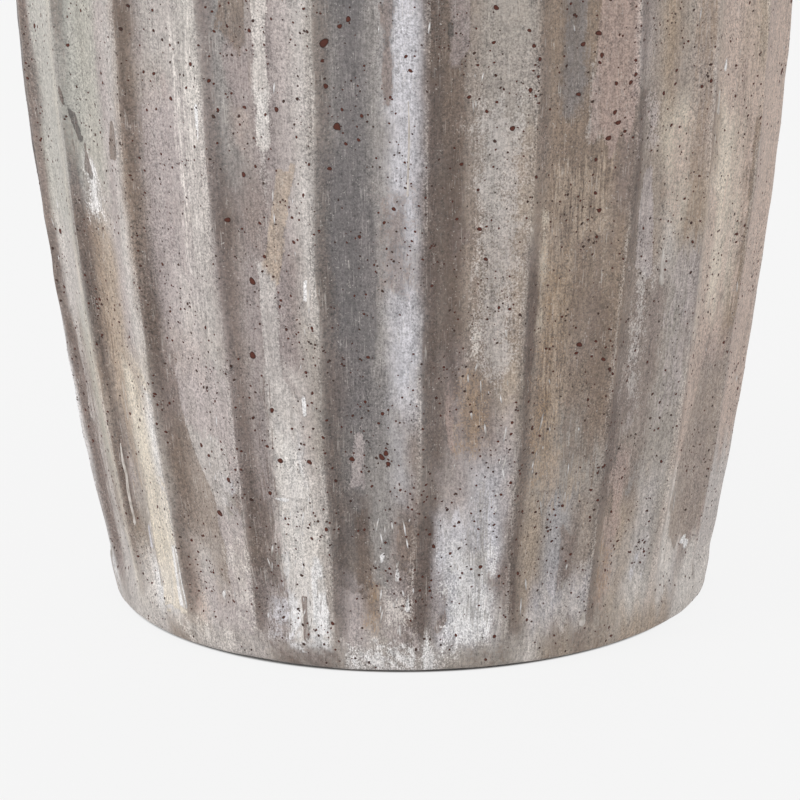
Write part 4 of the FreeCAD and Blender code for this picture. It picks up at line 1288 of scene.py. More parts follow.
def turned_piece(name, rows, materials):
    """Closed mesh turned from a profile. Rows of the glazed wall are carved with the flutes."""
    poles = rows[0][0] == 0
    rings = rows[1:-1] if poles else rows
    ring_radius, ring_height, ring_skin = (np.array(column) for column in zip(*rings))
    grid = column_angles(ring_height)
    count, columns = grid.shape
    angle = grid.ravel()
    height, climb, radius, skin = (
        np.repeat(values, columns) for values in (ring_height, climbs(rings), ring_radius, ring_skin)
    )
    carved = skin == GLAZED_WALL
    radius[carved] = wall_radius(angle[carved], height[carved])
    plain = skin == GLAZED_PLAIN
    radius[plain] -= PLAIN_WAVES * (1 + waves(angle[plain], climb[plain], 15, PLAIN_WAVE_LENGTH)) / 2

    turn = np.radians(angle)
    outward = np.column_stack([np.sin(turn), -np.cos(turn)])
    points = np.column_stack([radius[:, None] * outward, height]).tolist()
    bare = (ring_skin == BARE) | (np.roll(ring_skin, -1) == BARE)
    face_bare = np.repeat(bare, columns)
    if poles:
        points += [(0, 0, rows[0][1]), (0, 0, rows[-1][1])]
        face_bare = np.append(np.repeat(bare[:-1], columns), np.ones(2 * columns, dtype=bool))
    item = add_piece(name, points, turned_faces(count, columns, poles), *materials)
    item.data.polygons.foreach_set("material_index", face_bare.astype(np.int32))

    ground, layers = paint(angle, height, radius)
    # Masks of the crease, darkened partly by dirt and partly by painted shade, and of the ridge, lightened
    # partly by wear and partly by a painted highlight
    crease_dirt_and_shade, crest_wear_and_highlight = edge_shares(angle, np.minimum(height, SEAT))
    set_attributes(item.data, {
        "flow": np.column_stack([BELLY_RADIUS * outward, climb]),
        "ground": np.column_stack([ground, np.ones(len(ground))]),
        **layers,
        "crease_dirt_and_shade": crease_dirt_and_shade * carved,
        "crest_wear_and_highlight": crest_wear_and_highlight * carved,
    })
    mark_sharp(item.data, columns, sharp_rings(rings, not poles))
    item.data.validate()
    return item


def off_wall_piece(name, angles, levels, lifts, faces, material):
    """Mesh whose points lie off the wall by these lifts, in millimetres."""
    angles = np.array(angles)
    height = np.maximum(np.array(levels) * MM, LOWEST_POINT) + FOOT_LOW
    radius = wall_radius(angles, height) + np.array(lifts) * MM
    turn = np.radians(angles)
    points = np.column_stack([radius * np.sin(turn), -radius * np.cos(turn), height])
    return add_piece(name, points.tolist(), faces, material)


def degree_arc(level):
    """Millimetres along the wall to a degree at this level."""
    return math.radians(1) * float(ridge_radius(np.array(level * MM + FOOT_LOW))) / MM


def from_read(angle, level):
    """Angle and level on the wall of places in the tables."""
    angle, level = np.array(angle, float), np.array(level, float)
    true_angle, true_level = angle.copy(), level.copy()
    for _ in range(3):
        height = true_level * MM + FOOT_LOW
        read_angle, read_level = as_read(true_angle, height, wall_radius(true_angle, height))
        true_angle += angle - read_angle
        true_level += level - read_level
    return true_angle, true_level


def placed(spots):
    """Spots of a table with their places carried over to the wall."""
    angle, level, *rest = zip(*spots)
    return list(zip(*from_read(angle, level), *rest))


# Iron speckles that the photograph shows large enough to place: angle, level and width
IRON_SPECKLES = (
    (-23.3, 147.5, 2.5), (-26.6, 169, 2.0), (-23.6, 186, 1.8), (-22.9, 210, 1.5), (-18.1, 210, 1.8),
    (-10.7, 190, 1.6), (-9.5, 205, 2.6), (-10.9, 219, 1.8), (-16.4, 163, 1.5), (-21.5, 169, 1.5),
    (-34.9, 210, 1.6), (-37.7, 218, 1.5), (-39.6, 218, 1.3), (-31.1, 223, 1.6), (-6.0, 209, 1.5),
    (-6.7, 166, 1.5), (-51.3, 191, 1.3), (-21.1, 157, 1.5), (-1.7, 176, 1.5), (-24.2, 120, 2.5),
    (-32.1, 128, 1.3), (-52.0, 126.5, 1.3), (-5.9, 122, 1.5), (15.1, 203, 1.8), (31.5, 201, 2.1),
    (30.0, 196, 2.1), (34.1, 217, 1.5), (30.9, 205, 1.5), (30.9, 215, 1.5), (34.0, 222, 1.3),
    (27.2, 122, 2.1), (31.7, 115, 1.6), (26.8, 119, 1.5), (29.1, 170.5, 1.6), (28.3, 177, 1.5),
    (28.1, 189, 1.5), (28.9, 161, 1.3), (10.6, 168, 1.8), (11.6, 157, 1.6), (7.3, 172, 1.3),
    (7.9, 191.5, 1.5), (18.8, 185, 1.3), (41.8, 216, 1.3), (47.2, 208, 1.5), (48.8, 215, 1.1),
    (17.6, 216, 1.5), (8.9, 215, 1.5), (24.9, 213, 1.8), (45.3, 168.5, 1.2), (48.4, 140, 1.3),
    (60.8, 148, 1.3), (59.5, 156, 1.3), (65.0, 188, 1.5), (-33.8, 57, 2.5), (-31.0, 71, 1.8),
    (-35.7, 82.5, 1.6), (-34.4, 79, 1.5), (-21.0, 81, 2.0), (-16.0, 81.5, 2.0), (-21.7, 100, 1.8),
    (-13.9, 56, 1.6), (-23.4, 68, 1.6), (-9.0, 83.5, 2.0), (-4.2, 84.5, 2.3), (-3.5, 86, 2.0),
    (-3.2, 82, 1.8), (-3.9, 101, 1.5), (-48.9, 53, 1.5), (-49.5, 86, 1.3), (-23.1, 86, 1.5),
    (-14.0, 19, 1.5), (-19.1, 37, 1.3), (12.4, 41, 1.6), (19.3, 37, 1.6), (4.2, 50, 1.5),
    (6.4, 64, 1.3), (7.8, 70, 1.2), (15.7, 13, 1.5), (33.0, 111, 1.3), (36.9, 105, 1.2),
    (46.7, 35, 1.3), (21.8, 18, 1.3), (52.5, 17, 1.2), (58.2, 45, 1.2), (61.7, 107, 1.5),
    (14.3, 4, 1.3), (-11.0, 234, 3.0), (-7.6, 242.5, 2.0), (-8.8, 240, 1.8), (-21.1, 240.5, 1.3),
    (-21.7, 237, 1.5), (-18.4, 241.5, 1.1), (-41.7, 240.5, 1.3), (-37.3, 240.5, 1.2), (-43, 232, 1.4),
    (-34.5, 229, 1.1), (-35.8, 230.5, 1.2), (-28.2, 218, 1.4), (-56.3, 221, 1.6), (-52.3, 235, 1.3),
    (-39.5, 204.5, 1.3), (-37.7, 205.5, 1.2), (-27.8, 205.5, 1.4), (-8.3, 199, 1.5), (-6.5, 200.5, 1.5),
    (-17, 213, 1.2), (-15, 214, 1.3), (-2, 215.5, 1.3), (-11.3, 227.8, 1.3), (12.6, 245.5, 2.1),
    (23.4, 245, 1.3), (24, 241, 1.4), (17.3, 236.7, 1.4), (12.3, 233.5, 1.4), (9.6, 230.2, 1.3),
    (18, 231.2, 1.6), (25.4, 230.4, 1.8), (27.8, 233.6, 2.3), (10.1, 226, 1.2), (18.9, 226.4, 1.4),
    (28.4, 225.7, 1.7), (28.1, 223.2, 1.4), (0.8, 224.6, 1.6), (0.2, 229.6, 1.4), (33.3, 214.5, 1.6),
    (49.2, 209, 1.5), (41.7, 211.3, 1.3), (39.5, 209, 1.4), (11.4, 209.7, 1.4), (20.6, 208.7, 1.2),
    (12.6, 199, 1.4), (30.8, 204.7, 1.5), (41.4, 196.7, 1.4), (56.2, 200.7, 1.4), (32.7, 197.5, 1.4),
)
# Speckles that are drawn freely, the shares of middling and large ones, and the widths of each kind
FREE_SPECKLES = 11000
MIDDLING_SHARE = 0.16
LARGE_SHARE = 0.012
SMALL_WIDTHS = (0.5, 0.95)
SMALL_CROWDING = 1.5
MIDDLING_WIDTHS = (0.85, 1.25)
LARGE_WIDTHS = (1.4, 2.4)
# How dense the speckles lie on the whole, how much that varies, and their thinner stretch at the foot
DENSITY = 0.5
DENSITY_WAVES = 0.4
DENSITY_LENGTH = 46 * MM
THIN_BELOW = 14
THIN_SHARE = 0.4
LOWEST_SPECKLE = 1.5
SPECKLE_MARGIN = 8

# Domes: reach and rise of the rings of a small one and of the others, then of the crown and the base
SMALL_DOME = ((1.0, 0.1),)
DOME = ((1.0, -0.03), (0.72, 1.0))
CROWN_RISE = 1.15
BASE_RISE = -2
DOME_LEAN = 0.25
WOBBLES = ((2, 1, 0.13), (3, -1, 0.08))
# Speckles over this width keep to the redder tones
RED_WIDTH = 1.4
RED_TONES = 0.55


def free_speckles():
    """Small iron speckles all round, closer together in some places, and larger ones out of the view."""
    draw = np.random.RandomState(404)
    made = []
    while len(made) < FREE_SPECKLES:
        angle = draw.uniform(-180, 180)
        level = draw.uniform(LOWEST_SPECKLE, (SEAT - FOOT_LOW) / MM - SPECKLE_MARGIN)
        wave = waves(np.array([angle]), np.array([level * MM]), 61, DENSITY_LENGTH)[0]
        density = DENSITY + DENSITY_WAVES * wave
        if draw.uniform() > density * (THIN_SHARE if level < THIN_BELOW else 1):
            continue
        kind = draw.uniform()
        width = SMALL_WIDTHS[0] + (SMALL_WIDTHS[1] - SMALL_WIDTHS[0]) * draw.uniform() ** SMALL_CROWDING
        if kind < LARGE_SHARE and (abs(angle) > UNSEEN_FROM or level > SEEN_TOP):
            width = draw.uniform(*LARGE_WIDTHS)
        elif kind < MIDDLING_SHARE:
            width = draw.uniform(*MIDDLING_WIDTHS)
        made.append((angle, level, width))
    return made


def dome_sides(width):
    """Number of sides of a dome of this width."""
    return 12 if width > 1.5 else 8 if width > 0.8 else 6


def dome_faces(start, sides, rings):
    """Faces of a dome whose rings begin at this point, followed by its crown and the middle of its base."""
    inner = start + sides * (len(rings) - 1)
    crown = inner + sides
    faces = []
    for side in range(sides):
        after = (side + 1) % sides
        if len(rings) > 1:
            faces.append((start + side, start + after, inner + after, inner + side))
        faces.append((inner + side, inner + after, crown))
        faces.append((start + after, start + side, crown + 1))
    return faces


def dabs(name, spots, draw, stretches, lift, material):
    """One mesh of low closed domes that follow the wall. Each spot has an angle, a level and a width."""
    angles, levels, lifts, tones, rims, faces = [], [], [], [], [], []
    for angle, level, width in spots:
        sides = dome_sides(width)
        rings = DOME if sides > 6 else SMALL_DOME
        faces += dome_faces(len(angles), sides, rings)
        long = width * draw.uniform(*stretches)
        lean = draw.uniform(-DOME_LEAN, DOME_LEAN)
        tone = draw.uniform() * (RED_TONES if width > RED_WIDTH else 1)
        phase = draw.uniform(0, 2 * math.pi)
        arc = degree_arc(level)
        for reach, rise in rings:
            for turn in 2 * math.pi * np.arange(sides) / sides:
                wobble = sum(share * math.sin(times * turn + way * phase) for times, way, share in WOBBLES)
                across = reach * (1 + wobble) * width / 2 * math.cos(turn)
                up = reach * (1 + wobble) * long / 2 * math.sin(turn)
                angles.append(angle + (across + lean * up) / arc)
                levels.append(level + up)
            lifts += [rise * lift] * sides
            rims += [reach] * sides
        angles += [angle, angle]
        levels += [level, level]
        lifts += [CROWN_RISE * lift, BASE_RISE * lift]
        rims += [0, 1]
        tones += [tone] * (len(angles) - len(tones))
    item = off_wall_piece(name, angles, levels, lifts, faces, material)
    set_attributes(item.data, {"tone": np.array(tones), "rim": np.array(rims)})
    return item


# Places where bright flecks of thick glaze stand on the wall: angles, levels and how many
FLECK_FIELDS = (
    ((-22, -15), (10, 95), 26),
    ((-27, -22), (12, 60), 14),
    ((-6, 1), (14, 60), 20),
    ((6, 16), (14, 130), 26),
    ((20, 30), (20, 110), 18),
    ((-56, -50), (150, 180), 10),
    ((-36, -31), (20, 120), 12),
    ((9, 12), (205, 222), 4),
    ((44, 66), (14, 200), 12),
    ((-20, -14), (100, 225), 14),
    ((72, 288), (12, 330), 150),
    ((-72, 72), (232, 330), 40),
)
FLECK_WIDTHS = (0.35, 0.75)


def fleck_spots(draw):
    """Places and widths of the bright flecks."""
    made = []
    for angles, levels, count in FLECK_FIELDS:
        for _ in range(count):
            made.append((draw.uniform(*angles), draw.uniform(*levels), draw.uniform(*FLECK_WIDTHS)))
    return made


# Runs of thick glaze that ended in a bead: angle, top, foot, half width
RUNS = (
    (-56.4, 74, 42, 0.7),
    (-52.9, 100, 84, 0.6),
    (-52.4, 58, 20, 0.7),
    (-14.6, 150, 139, 0.9),
    (0.4, 214, 180, 0.6),
    (33.6, 17, 11.5, 1.5),
    (41.8, 152, 138, 1.5),
    (66.6, 196, 158, 1.2),
    (52.0, 205, 196, 0.8),
    (-46.2, 40, 14, 1.0),
)
UNSEEN_RUNS = 26
UNSEEN_RUNS_FROM = UNSEEN_FROM + 16
RUN_LENGTHS = (8, 40)
RUN_HALF_WIDTHS = (0.6, 1.4)

# Section of a run: places across it and how high they rise, then the depth of its underside
RUN_PLACES = (-1, -0.85, -0.5, 0, 0.5, 0.85, 1)
RUN_RISES = (-0.1, 0.35, 0.8, 1, 0.8, 0.35, -0.1)
RUN_UNDERSIDE = -0.2
RUN_STEP = 1.2
RUN_SWAY = 0.35
RUN_SWAY_LENGTH = 9
BEAD_REACH = 1.2
NARROWEST_SHARE = 0.05


def all_runs():
    """Runs of the seen side and improvised ones for the rest."""
    draw = np.random.RandomState(97)
    made = list(RUNS)
    for _ in range(UNSEEN_RUNS):
        top = draw.uniform(*UNSEEN_TOPS)
        angle = draw.uniform(UNSEEN_RUNS_FROM, 360 - UNSEEN_RUNS_FROM)
        made.append((angle, top, top - draw.uniform(*RUN_LENGTHS), draw.uniform(*RUN_HALF_WIDTHS)))
    return made


def run_section(share, length, half_width):
    """Half width of a run at a share of its length, and the height of its middle."""
    from_foot = (1 - share) * length
    bead = math.exp(-((from_foot - half_width) / (BEAD_REACH * half_width)) ** 2)
    end = math.sqrt(max(0.0, 1 - max(0.0, 1 - from_foot / half_width) ** 2)) if share > 0.5 else 1
    width = half_width * (0.25 + 0.35 * min(1, share * 3) + 0.4 * bead) * max(end, NARROWEST_SHARE)
    return width, half_width * (0.16 + 0.34 * bead) * min(1, share * 4 + 0.1)


def glaze_runs(name, material):
    """Closed strips that widen downwards and end in a bead."""
    ring = len(RUN_PLACES) + 1
    angles, levels, lifts, faces = [], [], [], []
    for number, (angle, top, foot, half_width) in enumerate(all_runs()):
        sections = max(8, round((top - foot) / RUN_STEP))
        start = len(angles)
        for share in np.arange(sections + 1) / sections:
            level = top - (top - foot) * share
            width, lift = run_section(share, top - foot, half_width)
            arc = degree_arc(level)
            sway = RUN_SWAY * math.sin(level / RUN_SWAY_LENGTH + number)
            angles += [angle + (place * width + sway) / arc for place in (*RUN_PLACES, 0)]
            levels += [level] * ring
            lifts += [rise * lift for rise in RUN_RISES] + [RUN_UNDERSIDE]
        for low in range(start, start + sections * ring, ring):
            for side in range(ring):
                after = (side + 1) % ring
                faces.append((low + after, low + side, low + ring + side, low + ring + after))
        last = start + sections * ring
        faces.append(tuple(range(start, start + ring)))
        faces.append(tuple(range(last + ring - 1, last - 1, -1)))
    return off_wall_piece(name, *from_read(angles, levels), lifts, faces, material)


# Materials

# Sockets of a colour mix
MIX_INPUTS = (6, 7)
MIX_OUTPUT = 2


class Shader:
    """Short hand for the nodes of one material."""

    def __init__(self, name):
        self.material = bpy.data.materials.new(name)
        self.material.use_nodes = True
        self.nodes = self.material.node_tree.nodes
        self.links = self.material.node_tree.links
        self.surface = self.nodes["Principled BSDF"]

    def feed(self, socket, value):
        """Link a node's output to a socket, or write a plain value there."""
        if isinstance(value, bpy.types.NodeSocket):
            self.links.new(value, socket)
        else:
            socket.default_value = value

    def surface_inputs(self, **values):
        """Feed inputs of the surface, named with _ for a space."""
        for name, value in values.items():
            self.feed(self.surface.inputs[name.replace("_", " ")], value)

    def attribute(self, name, output="Fac"):
        """Output of an attribute node of this name."""
        node = self.nodes.new("ShaderNodeAttribute")
        node.attribute_name = name
        return node.outputs[output]

    def place(self):
        """Place in the object's own frame."""
        return self.nodes.new("ShaderNodeTexCoord").outputs["Object"]

    def math(self, operation, first, second=0.0, third=0.0):
        """One sum on numbers."""
        node = self.nodes.new("ShaderNodeMath")
        node.operation = operation
        for socket, value in zip(node.inputs, (first, second, third)):
            self.feed(socket, value)
        return node.outputs[0]

    def stretched(self, vector, across, along):
        """Coordinates counted in grains this far apart, in millimetres."""
        node = self.nodes.new("ShaderNodeVectorMath")
        node.operation = "MULTIPLY"
        self.feed(node.inputs[0], vector)
        node.inputs[1].default_value = (1 / (across * MM), 1 / (across * MM), 1 / (along * MM))
        return node.outputs[0]

    def noise(self, vector, across, along, detail=2.0, roughness=0.5, low=0.3, high=0.7):
        """Noise with grains of this size in millimetres, spread over 0 to 1."""
        node = self.nodes.new("ShaderNodeTexNoise")
        self.feed(node.inputs["Vector"], self.stretched(vector, across, along))
        node.inputs["Scale"].default_value = 1.0
        node.inputs["Detail"].default_value = detail
        node.inputs["Roughness"].default_value = roughness
        return self.spread(node.outputs[0], low, high)

    def spread(self, value, low, high, to_low=0.0, to_high=1.0, smooth=False):
        """Map a range to another one."""
        node = self.nodes.new("ShaderNodeMapRange")
        node.interpolation_type = "SMOOTHSTEP" if smooth else "LINEAR"
        for socket, given in zip(node.inputs, (value, low, high, to_low, to_high)):
            self.feed(socket, given)
        return node.outputs[0]

    def mix(self, factor, first, second, blend="MIX"):
        """Mix two colours."""
        node = self.nodes.new("ShaderNodeMix")
        node.data_type = "RGBA"
        node.blend_type = blend
        node.clamp_factor = True
        self.feed(node.inputs["Factor"], factor)
        for at, value in zip(MIX_INPUTS, (first, second)):
            self.feed(node.inputs[at], value)
        return node.outputs[MIX_OUTPUT]

    def around(self, *terms):
        """Sum of (noise - 0.5) times a weight, over all terms."""
        total = None
        for noise, weight in terms:
            part = self.math("MULTIPLY_ADD", noise, weight, -weight / 2)
            total = part if total is None else self.math("ADD", total, part)
        return total

    def bump(self, height, distance):
        """Normal of a height given in shares of the distance."""
        node = self.nodes.new("ShaderNodeBump")
        node.inputs["Strength"].default_value = 1.0
        node.inputs["Distance"].default_value = distance
        self.feed(node.inputs["Height"], height)
        return node.outputs[0]


def shade(name):
    """A palette colour for a colour socket."""
    return (*linear(name), 1.0)


class GlazeNoises:
    """Noises of the glaze, along the flow of the brush up the wall."""

    def __init__(self, look):
        flow = look.attribute("flow", "Vector")
        self.bristle = look.noise(flow, 0.8, 11, detail=3, roughness=0.6)
        self.streak = look.noise(flow, 3.4, 60, detail=3, roughness=0.55)
        self.grain = look.noise(flow, 0.66, 0.72, detail=2, roughness=0.7)
        self.crinkle = look.noise(flow, 1.4, 1.6, detail=2, roughness=0.6)
        self.blotch = look.noise(flow, 4.5, 7, detail=4, roughness=0.6)
        self.cloud = look.noise(flow, 22, 34, detail=3, roughness=0.5)
        self.calm = look.noise(flow, 14, 30, detail=2)
        self.scratch = look.noise(flow, 0.36, 10, detail=1, low=0.0, high=1.0)
        self.pit = look.noise(flow, 0.7, 0.75, detail=1, low=0.0, high=1.0)


def layered(look, noises):
    """Colour of the ground under the brushed layers, and the cover of each layer. Their edges break up in
    the noises."""
    bristle, grain, blotch, streak = noises.bristle, noises.grain, noises.blotch, noises.streak
    # Each layer has its kind, the noises in its edge, the softness of the edge and its opacity
    brushed = (
        (WASH, ((blotch, 0.34), (bristle, 0.25), (grain, 0.30)), 0.22, 0.78),
        (VEIL, ((blotch, 0.22), (bristle, 0.16), (grain, 0.20)), 0.08, 0.80),
        (STIPPLE, ((blotch, 0.55), (grain, 0.60), (bristle, 0.15)), 0.20, 0.72),
        (DRY, ((bristle, 0.85), (streak, 0.35), (blotch, 0.25)), 0.14, 0.68),
        (WET, ((blotch, 0.06), (grain, 0.06)), 0.05, 0.88),
    )
    colour = look.attribute("ground", "Color")
    covers = {}
    for kind, terms, softness, opacity in brushed:
        edge = look.math("ADD", look.attribute(kind, "Alpha"), look.around(*terms))
        covers[kind] = look.spread(edge, 0.5 - softness, 0.5 + softness, smooth=True)
        opacity_here = look.spread(streak, 0, 1, opacity - 0.16, opacity + 0.12)
        thinned = look.math("MULTIPLY", covers[kind], opacity_here)
        colour = look.mix(thinned, colour, look.attribute(kind, "Color"))
    return colour, covers


def edged(look, noises, colour):
    """Colour with dirt and painted shade in the creases, wear and a painted highlight on the ridges, and
    slow changes of hue.
    """
    bristle, grain, blotch, streak = noises.bristle, noises.grain, noises.blotch, noises.streak
    # The umber mixed into the crease is partly dirt and partly painted shade
    dirt_and_shade_breakup = look.around((grain, 0.5), (bristle, 0.3), (blotch, 0.2))
    crease_dirt_and_shade = look.math("ADD", look.attribute("crease_dirt_and_shade"), dirt_and_shade_breakup)
    colour = look.mix(look.spread(crease_dirt_and_shade, 0.3, 1.0, 0, 0.62, smooth=True), colour, shade("umber"))
    # The warm white mixed onto the ridge is partly wear and partly a painted highlight
    crest_wear_and_highlight = look.math("ADD", look.attribute("crest_wear_and_highlight"), look.around((grain, 0.6), (streak, 0.5)))
    colour = look.mix(look.spread(crest_wear_and_highlight, 0.5, 1.0, 0, 0.3, smooth=True), colour, shade("warm_white"))
    colour = look.mix(look.spread(noises.cloud, 0.45, 1.0, 0, 0.18), colour, shade("mauve"))
    return look.mix(look.spread(noises.cloud, 0.4, 0.0, 0, 0.16), colour, shade("sand"))


def grained(look, noises, colour):
    """Colour times the fine grain of the brush, which is stronger at the edges of the flutes."""
    edges = look.math("ADD", look.attribute("crest_wear_and_highlight"), look.attribute("crease_dirt_and_shade"))
    grit = look.math("SUBTRACT", noises.grain, 0.5)
    for strength in (look.spread(edges, 0, 1, 0.74, 1.05), look.spread(noises.calm, 0, 1, 0.62, 1.45)):
        grit = look.math("MULTIPLY", grit, strength)
    strokes = look.around(
        (noises.bristle, 0.30), (noises.streak, 0.20), (noises.crinkle, 0.46), (noises.blotch, 0.16),
    )
    tone = look.math("ADD", grit, look.math("ADD", 1.0, strokes))
    grey = look.nodes.new("ShaderNodeCombineColor")
    for socket in grey.inputs[:3]:
        look.feed(socket, tone)
    return look.mix(1.0, colour, grey.outputs[0], blend="MULTIPLY")


def scratched(look, noises, colour):
    """Colour with light and dark scratches, and with dark and light pits."""
    blotch, scratch, pit = noises.blotch, noises.scratch, noises.pit
    # Each has its noise with the range it comes up over, a noise that thins it out, and a colour
    marks = (
        ((scratch, 0.58, 0.68), (blotch, 0.45, 0.85, 0, 0.45), "warm_white"),
        ((scratch, 0.40, 0.30), (blotch, 0.55, 0.15, 0, 0.3), "soot"),
        ((pit, 0.34, 0.26), (noises.cloud, 0.2, 0.8, 0.25, 0.7), "soot"),
        ((pit, 0.66, 0.74), (blotch, 0.3, 0.9, 0.2, 0.75), "warm_white"),
    )
    for where, how_much, name in marks:
        share = look.math("MULTIPLY", look.spread(*where), look.spread(*how_much))
        colour = look.mix(share, colour, shade(name))
    return colour


def glaze_material():
    """Weathered satin glaze, with layers of brushed washes whose edges break up in the bristle noise."""
    look = Shader("weathered_glaze")
    noises = GlazeNoises(look)
    bristle, grain, blotch = noises.bristle, noises.grain, noises.blotch
    colour, covers = layered(look, noises)
    for change in (edged, grained, scratched):
        colour = change(look, noises, colour)

    rough = look.math("ADD", 0.54, look.around((blotch, 0.16), (bristle, 0.08), (grain, 0.12)))
    rough = look.math("MULTIPLY_ADD", covers[WET], -0.16, rough)
    rough = look.math("MULTIPLY_ADD", covers[STIPPLE], 0.08, rough)

    height = look.around(
        (bristle, 0.4), (grain, 0.5), (noises.crinkle, 0.6), (blotch, 0.45), (noises.streak, 0.4),
    )
    for kind, rise in ((WASH, 0.2), (VEIL, 0.3), (WET, 0.8)):
        height = look.math("MULTIPLY_ADD", covers[kind], rise, height)
    look.surface_inputs(Base_Color=colour, Roughness=rough, Normal=look.bump(height, 0.24 * MM))
    return look.material


def clay_material(name, tint, dark, roughness):
    """Thin wash over clay, with turning lines and grit."""
    look = Shader(name)
    flow = look.attribute("flow", "Vector")
    rings = look.noise(flow, 60, 1.6, detail=3)
    grit = look.noise(flow, 0.7, 0.7, detail=2)
    cloud = look.noise(flow, 30, 20, detail=3)
    colour = look.mix(cloud, shade(tint), shade(dark))
    colour = look.mix(look.spread(rings, 0.5, 1.0, 0, 0.35), colour, shade(dark))
    colour = look.mix(look.spread(grit, 0.75, 0.95, 0, 0.4), colour, shade("warm_white"))
    relief = look.bump(look.around((rings, 1.0), (grit, 0.4)), 0.25 * MM)
    look.surface_inputs(Base_Color=colour, Roughness=roughness, Normal=relief)
    return look.material


# Colours of the iron and the felt, as linear shares
IRON_RED = (0.098, 0.024, 0.014, 1)
IRON_DARK = (0.040, 0.019, 0.014, 1)
IRON_DULL = (0.10, 0.065, 0.052, 1)
IRON_RUST = (0.10, 0.035, 0.022, 1)
IRON_RIM = (0.028, 0.016, 0.013, 1)
FELT_DARK = (0.018, 0.017, 0.016, 1)
FELT_LIGHT = (0.055, 0.051, 0.047, 1)
FELT_HAIR = (0.10, 0.095, 0.09, 1)


def iron_material():
    """Rust-brown iron that bled through the glaze, darker in some speckles than in others."""
    look = Shader("iron_bleed")
    mottle = look.noise(look.place(), 0.4, 0.4, detail=2)
    tone = look.attribute("tone")
    colour = look.mix(look.spread(tone, 0.55, 0.75), IRON_RED, IRON_DARK)
    colour = look.mix(look.spread(tone, 0.82, 1.0, 0, 0.6), colour, IRON_DULL)
    colour = look.mix(look.math("MULTIPLY", mottle, 0.3), colour, IRON_RUST)
    colour = look.mix(look.spread(look.attribute("rim"), 0.55, 1.0, 0, 0.75), colour, IRON_RIM)
    rough = look.spread(mottle, 0, 1, 0.45, 0.65)
    look.surface_inputs(Base_Color=colour, Roughness=rough, Specular_IOR_Level=0.3)
    return look.material


def thick_glaze_material(name, tint, roughness):
    """Thick glossy glaze of the runs and flecks."""
    look = Shader(name)
    mottle = look.noise(look.place(), 1.6, 3.5, detail=3)
    colour = look.mix(look.spread(mottle, 0.2, 0.9), shade(tint), shade("warm_grey"))
    look.surface_inputs(Base_Color=colour, Roughness=look.spread(mottle, 0, 1, roughness, roughness + 0.15))
    return look.material


def felt_material():
    """Pressed felt: short crossing fibres and a soft sheen."""
    look = Shader("pressed_felt")
    place = look.place()
    fibre = look.noise(place, 0.18, 0.5, detail=3)
    crossing = look.noise(place, 0.5, 0.2, detail=3)
    colour = look.mix(fibre, FELT_DARK, FELT_LIGHT)
    colour = look.mix(look.spread(crossing, 0.7, 1.0, 0, 0.4), colour, FELT_HAIR)
    relief = look.bump(look.around((fibre, 1.0), (crossing, 1.0)), 0.2 * MM)
    look.surface_inputs(Base_Color=colour, Roughness=0.95, Sheen_Weight=0.3, Normal=relief)
    return look.material


# Pieces

# Felt pad: reach and rise of its rings, as shares of its radius and thickness, and how uneven its rim is
PAD_PROFILE = (
    (0.5, 0.0), (0.93, 0.0), (0.985, 0.12), (1.0, 0.35),
    (1.0, 0.65), (0.985, 0.88), (0.93, 1.0), (0.5, 1.0),
)
PAD_SIDES = 64
PAD_UNEVEN = 0.012


def felt_pad(name, angle, material):
    """Round felt pad with a soft cut edge and a slightly fuzzy, uneven rim."""
    centre_radius = (FOOT_RADIUS - FOOT_RING + FOOT_RADIUS - FOOT_EDGE) / 2
    turn = math.radians(angle)
    x, y = centre_radius * math.cos(turn), centre_radius * math.sin(turn)
    draw = np.random.RandomState(int(angle))
    rim = PAD_RADIUS * (1 - PAD_UNEVEN * draw.uniform(0, 1, PAD_SIDES))
    around = 2 * math.pi * np.arange(PAD_SIDES) / PAD_SIDES
    points = []
    for reach, rise in PAD_PROFILE:
        height = np.full(PAD_SIDES, FOOT_LOW * rise)
        ring = [x + reach * rim * np.cos(around), y + reach * rim * np.sin(around), height]
        points += np.column_stack(ring).tolist()
    points += [(x, y, 0.0), (x, y, FOOT_LOW)]
    return add_piece(name, points, turned_faces(len(PAD_PROFILE), PAD_SIDES, True), material)


def settle(piece, slot, *nodes):
    """Fix a piece to the vase and hide the solids of the nodes it stands for."""
    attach(piece, "root")
    if nodes:
        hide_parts(*nodes)


glaze = glaze_material()
inside = clay_material("inner_wash", "taupe", "mauve_brown", 0.7)
coil_clay = clay_material("coil_clay", "warm_grey", "taupe", 0.85)
felt = felt_material()

SECTIONS = (
    ("vase_floor", "floor_disc", floor_rows, (glaze, inside), "glazed_body"),
    ("vase_lower_wall", "lower_wall", lower_wall_rows, (glaze, inside), "glazed_body"),
    ("vase_upper_wall", "upper_wall", upper_wall_rows, (glaze, inside), "glazed_body"),
    ("vase_neck", "neck_collar", neck_rows, (glaze, inside), "glazed_body"),
    ("vase_lip", "rim_roll", lip_rows, (glaze, inside), "glazed_body"),
    ("vase_floor_coil", "floor_coil", floor_coil_rows, (coil_clay, coil_clay), "inner_clay"),
    ("vase_seam_coil", "seam_coil", seam_coil_rows, (coil_clay, coil_clay), "inner_clay"),
)
for piece_name, node, profile, finish, slot_name in SECTIONS:
    settle(turned_piece(piece_name, profile(), finish), slot_name, node)

for number in range(PAD_COUNT):
    pad = felt_pad(f"felt_pad_{number + 1}", FIRST_PAD + 360 * number / PAD_COUNT, felt)
    settle(pad, "felt", *(("felt_pads",) if number == 0 else ()))

SPECKLE_STRETCHES = (0.85, 1.12)
SPECKLE_LIFT = 0.07
FLECK_STRETCHES = (3, 11)
FLECK_LIFT = 0.12

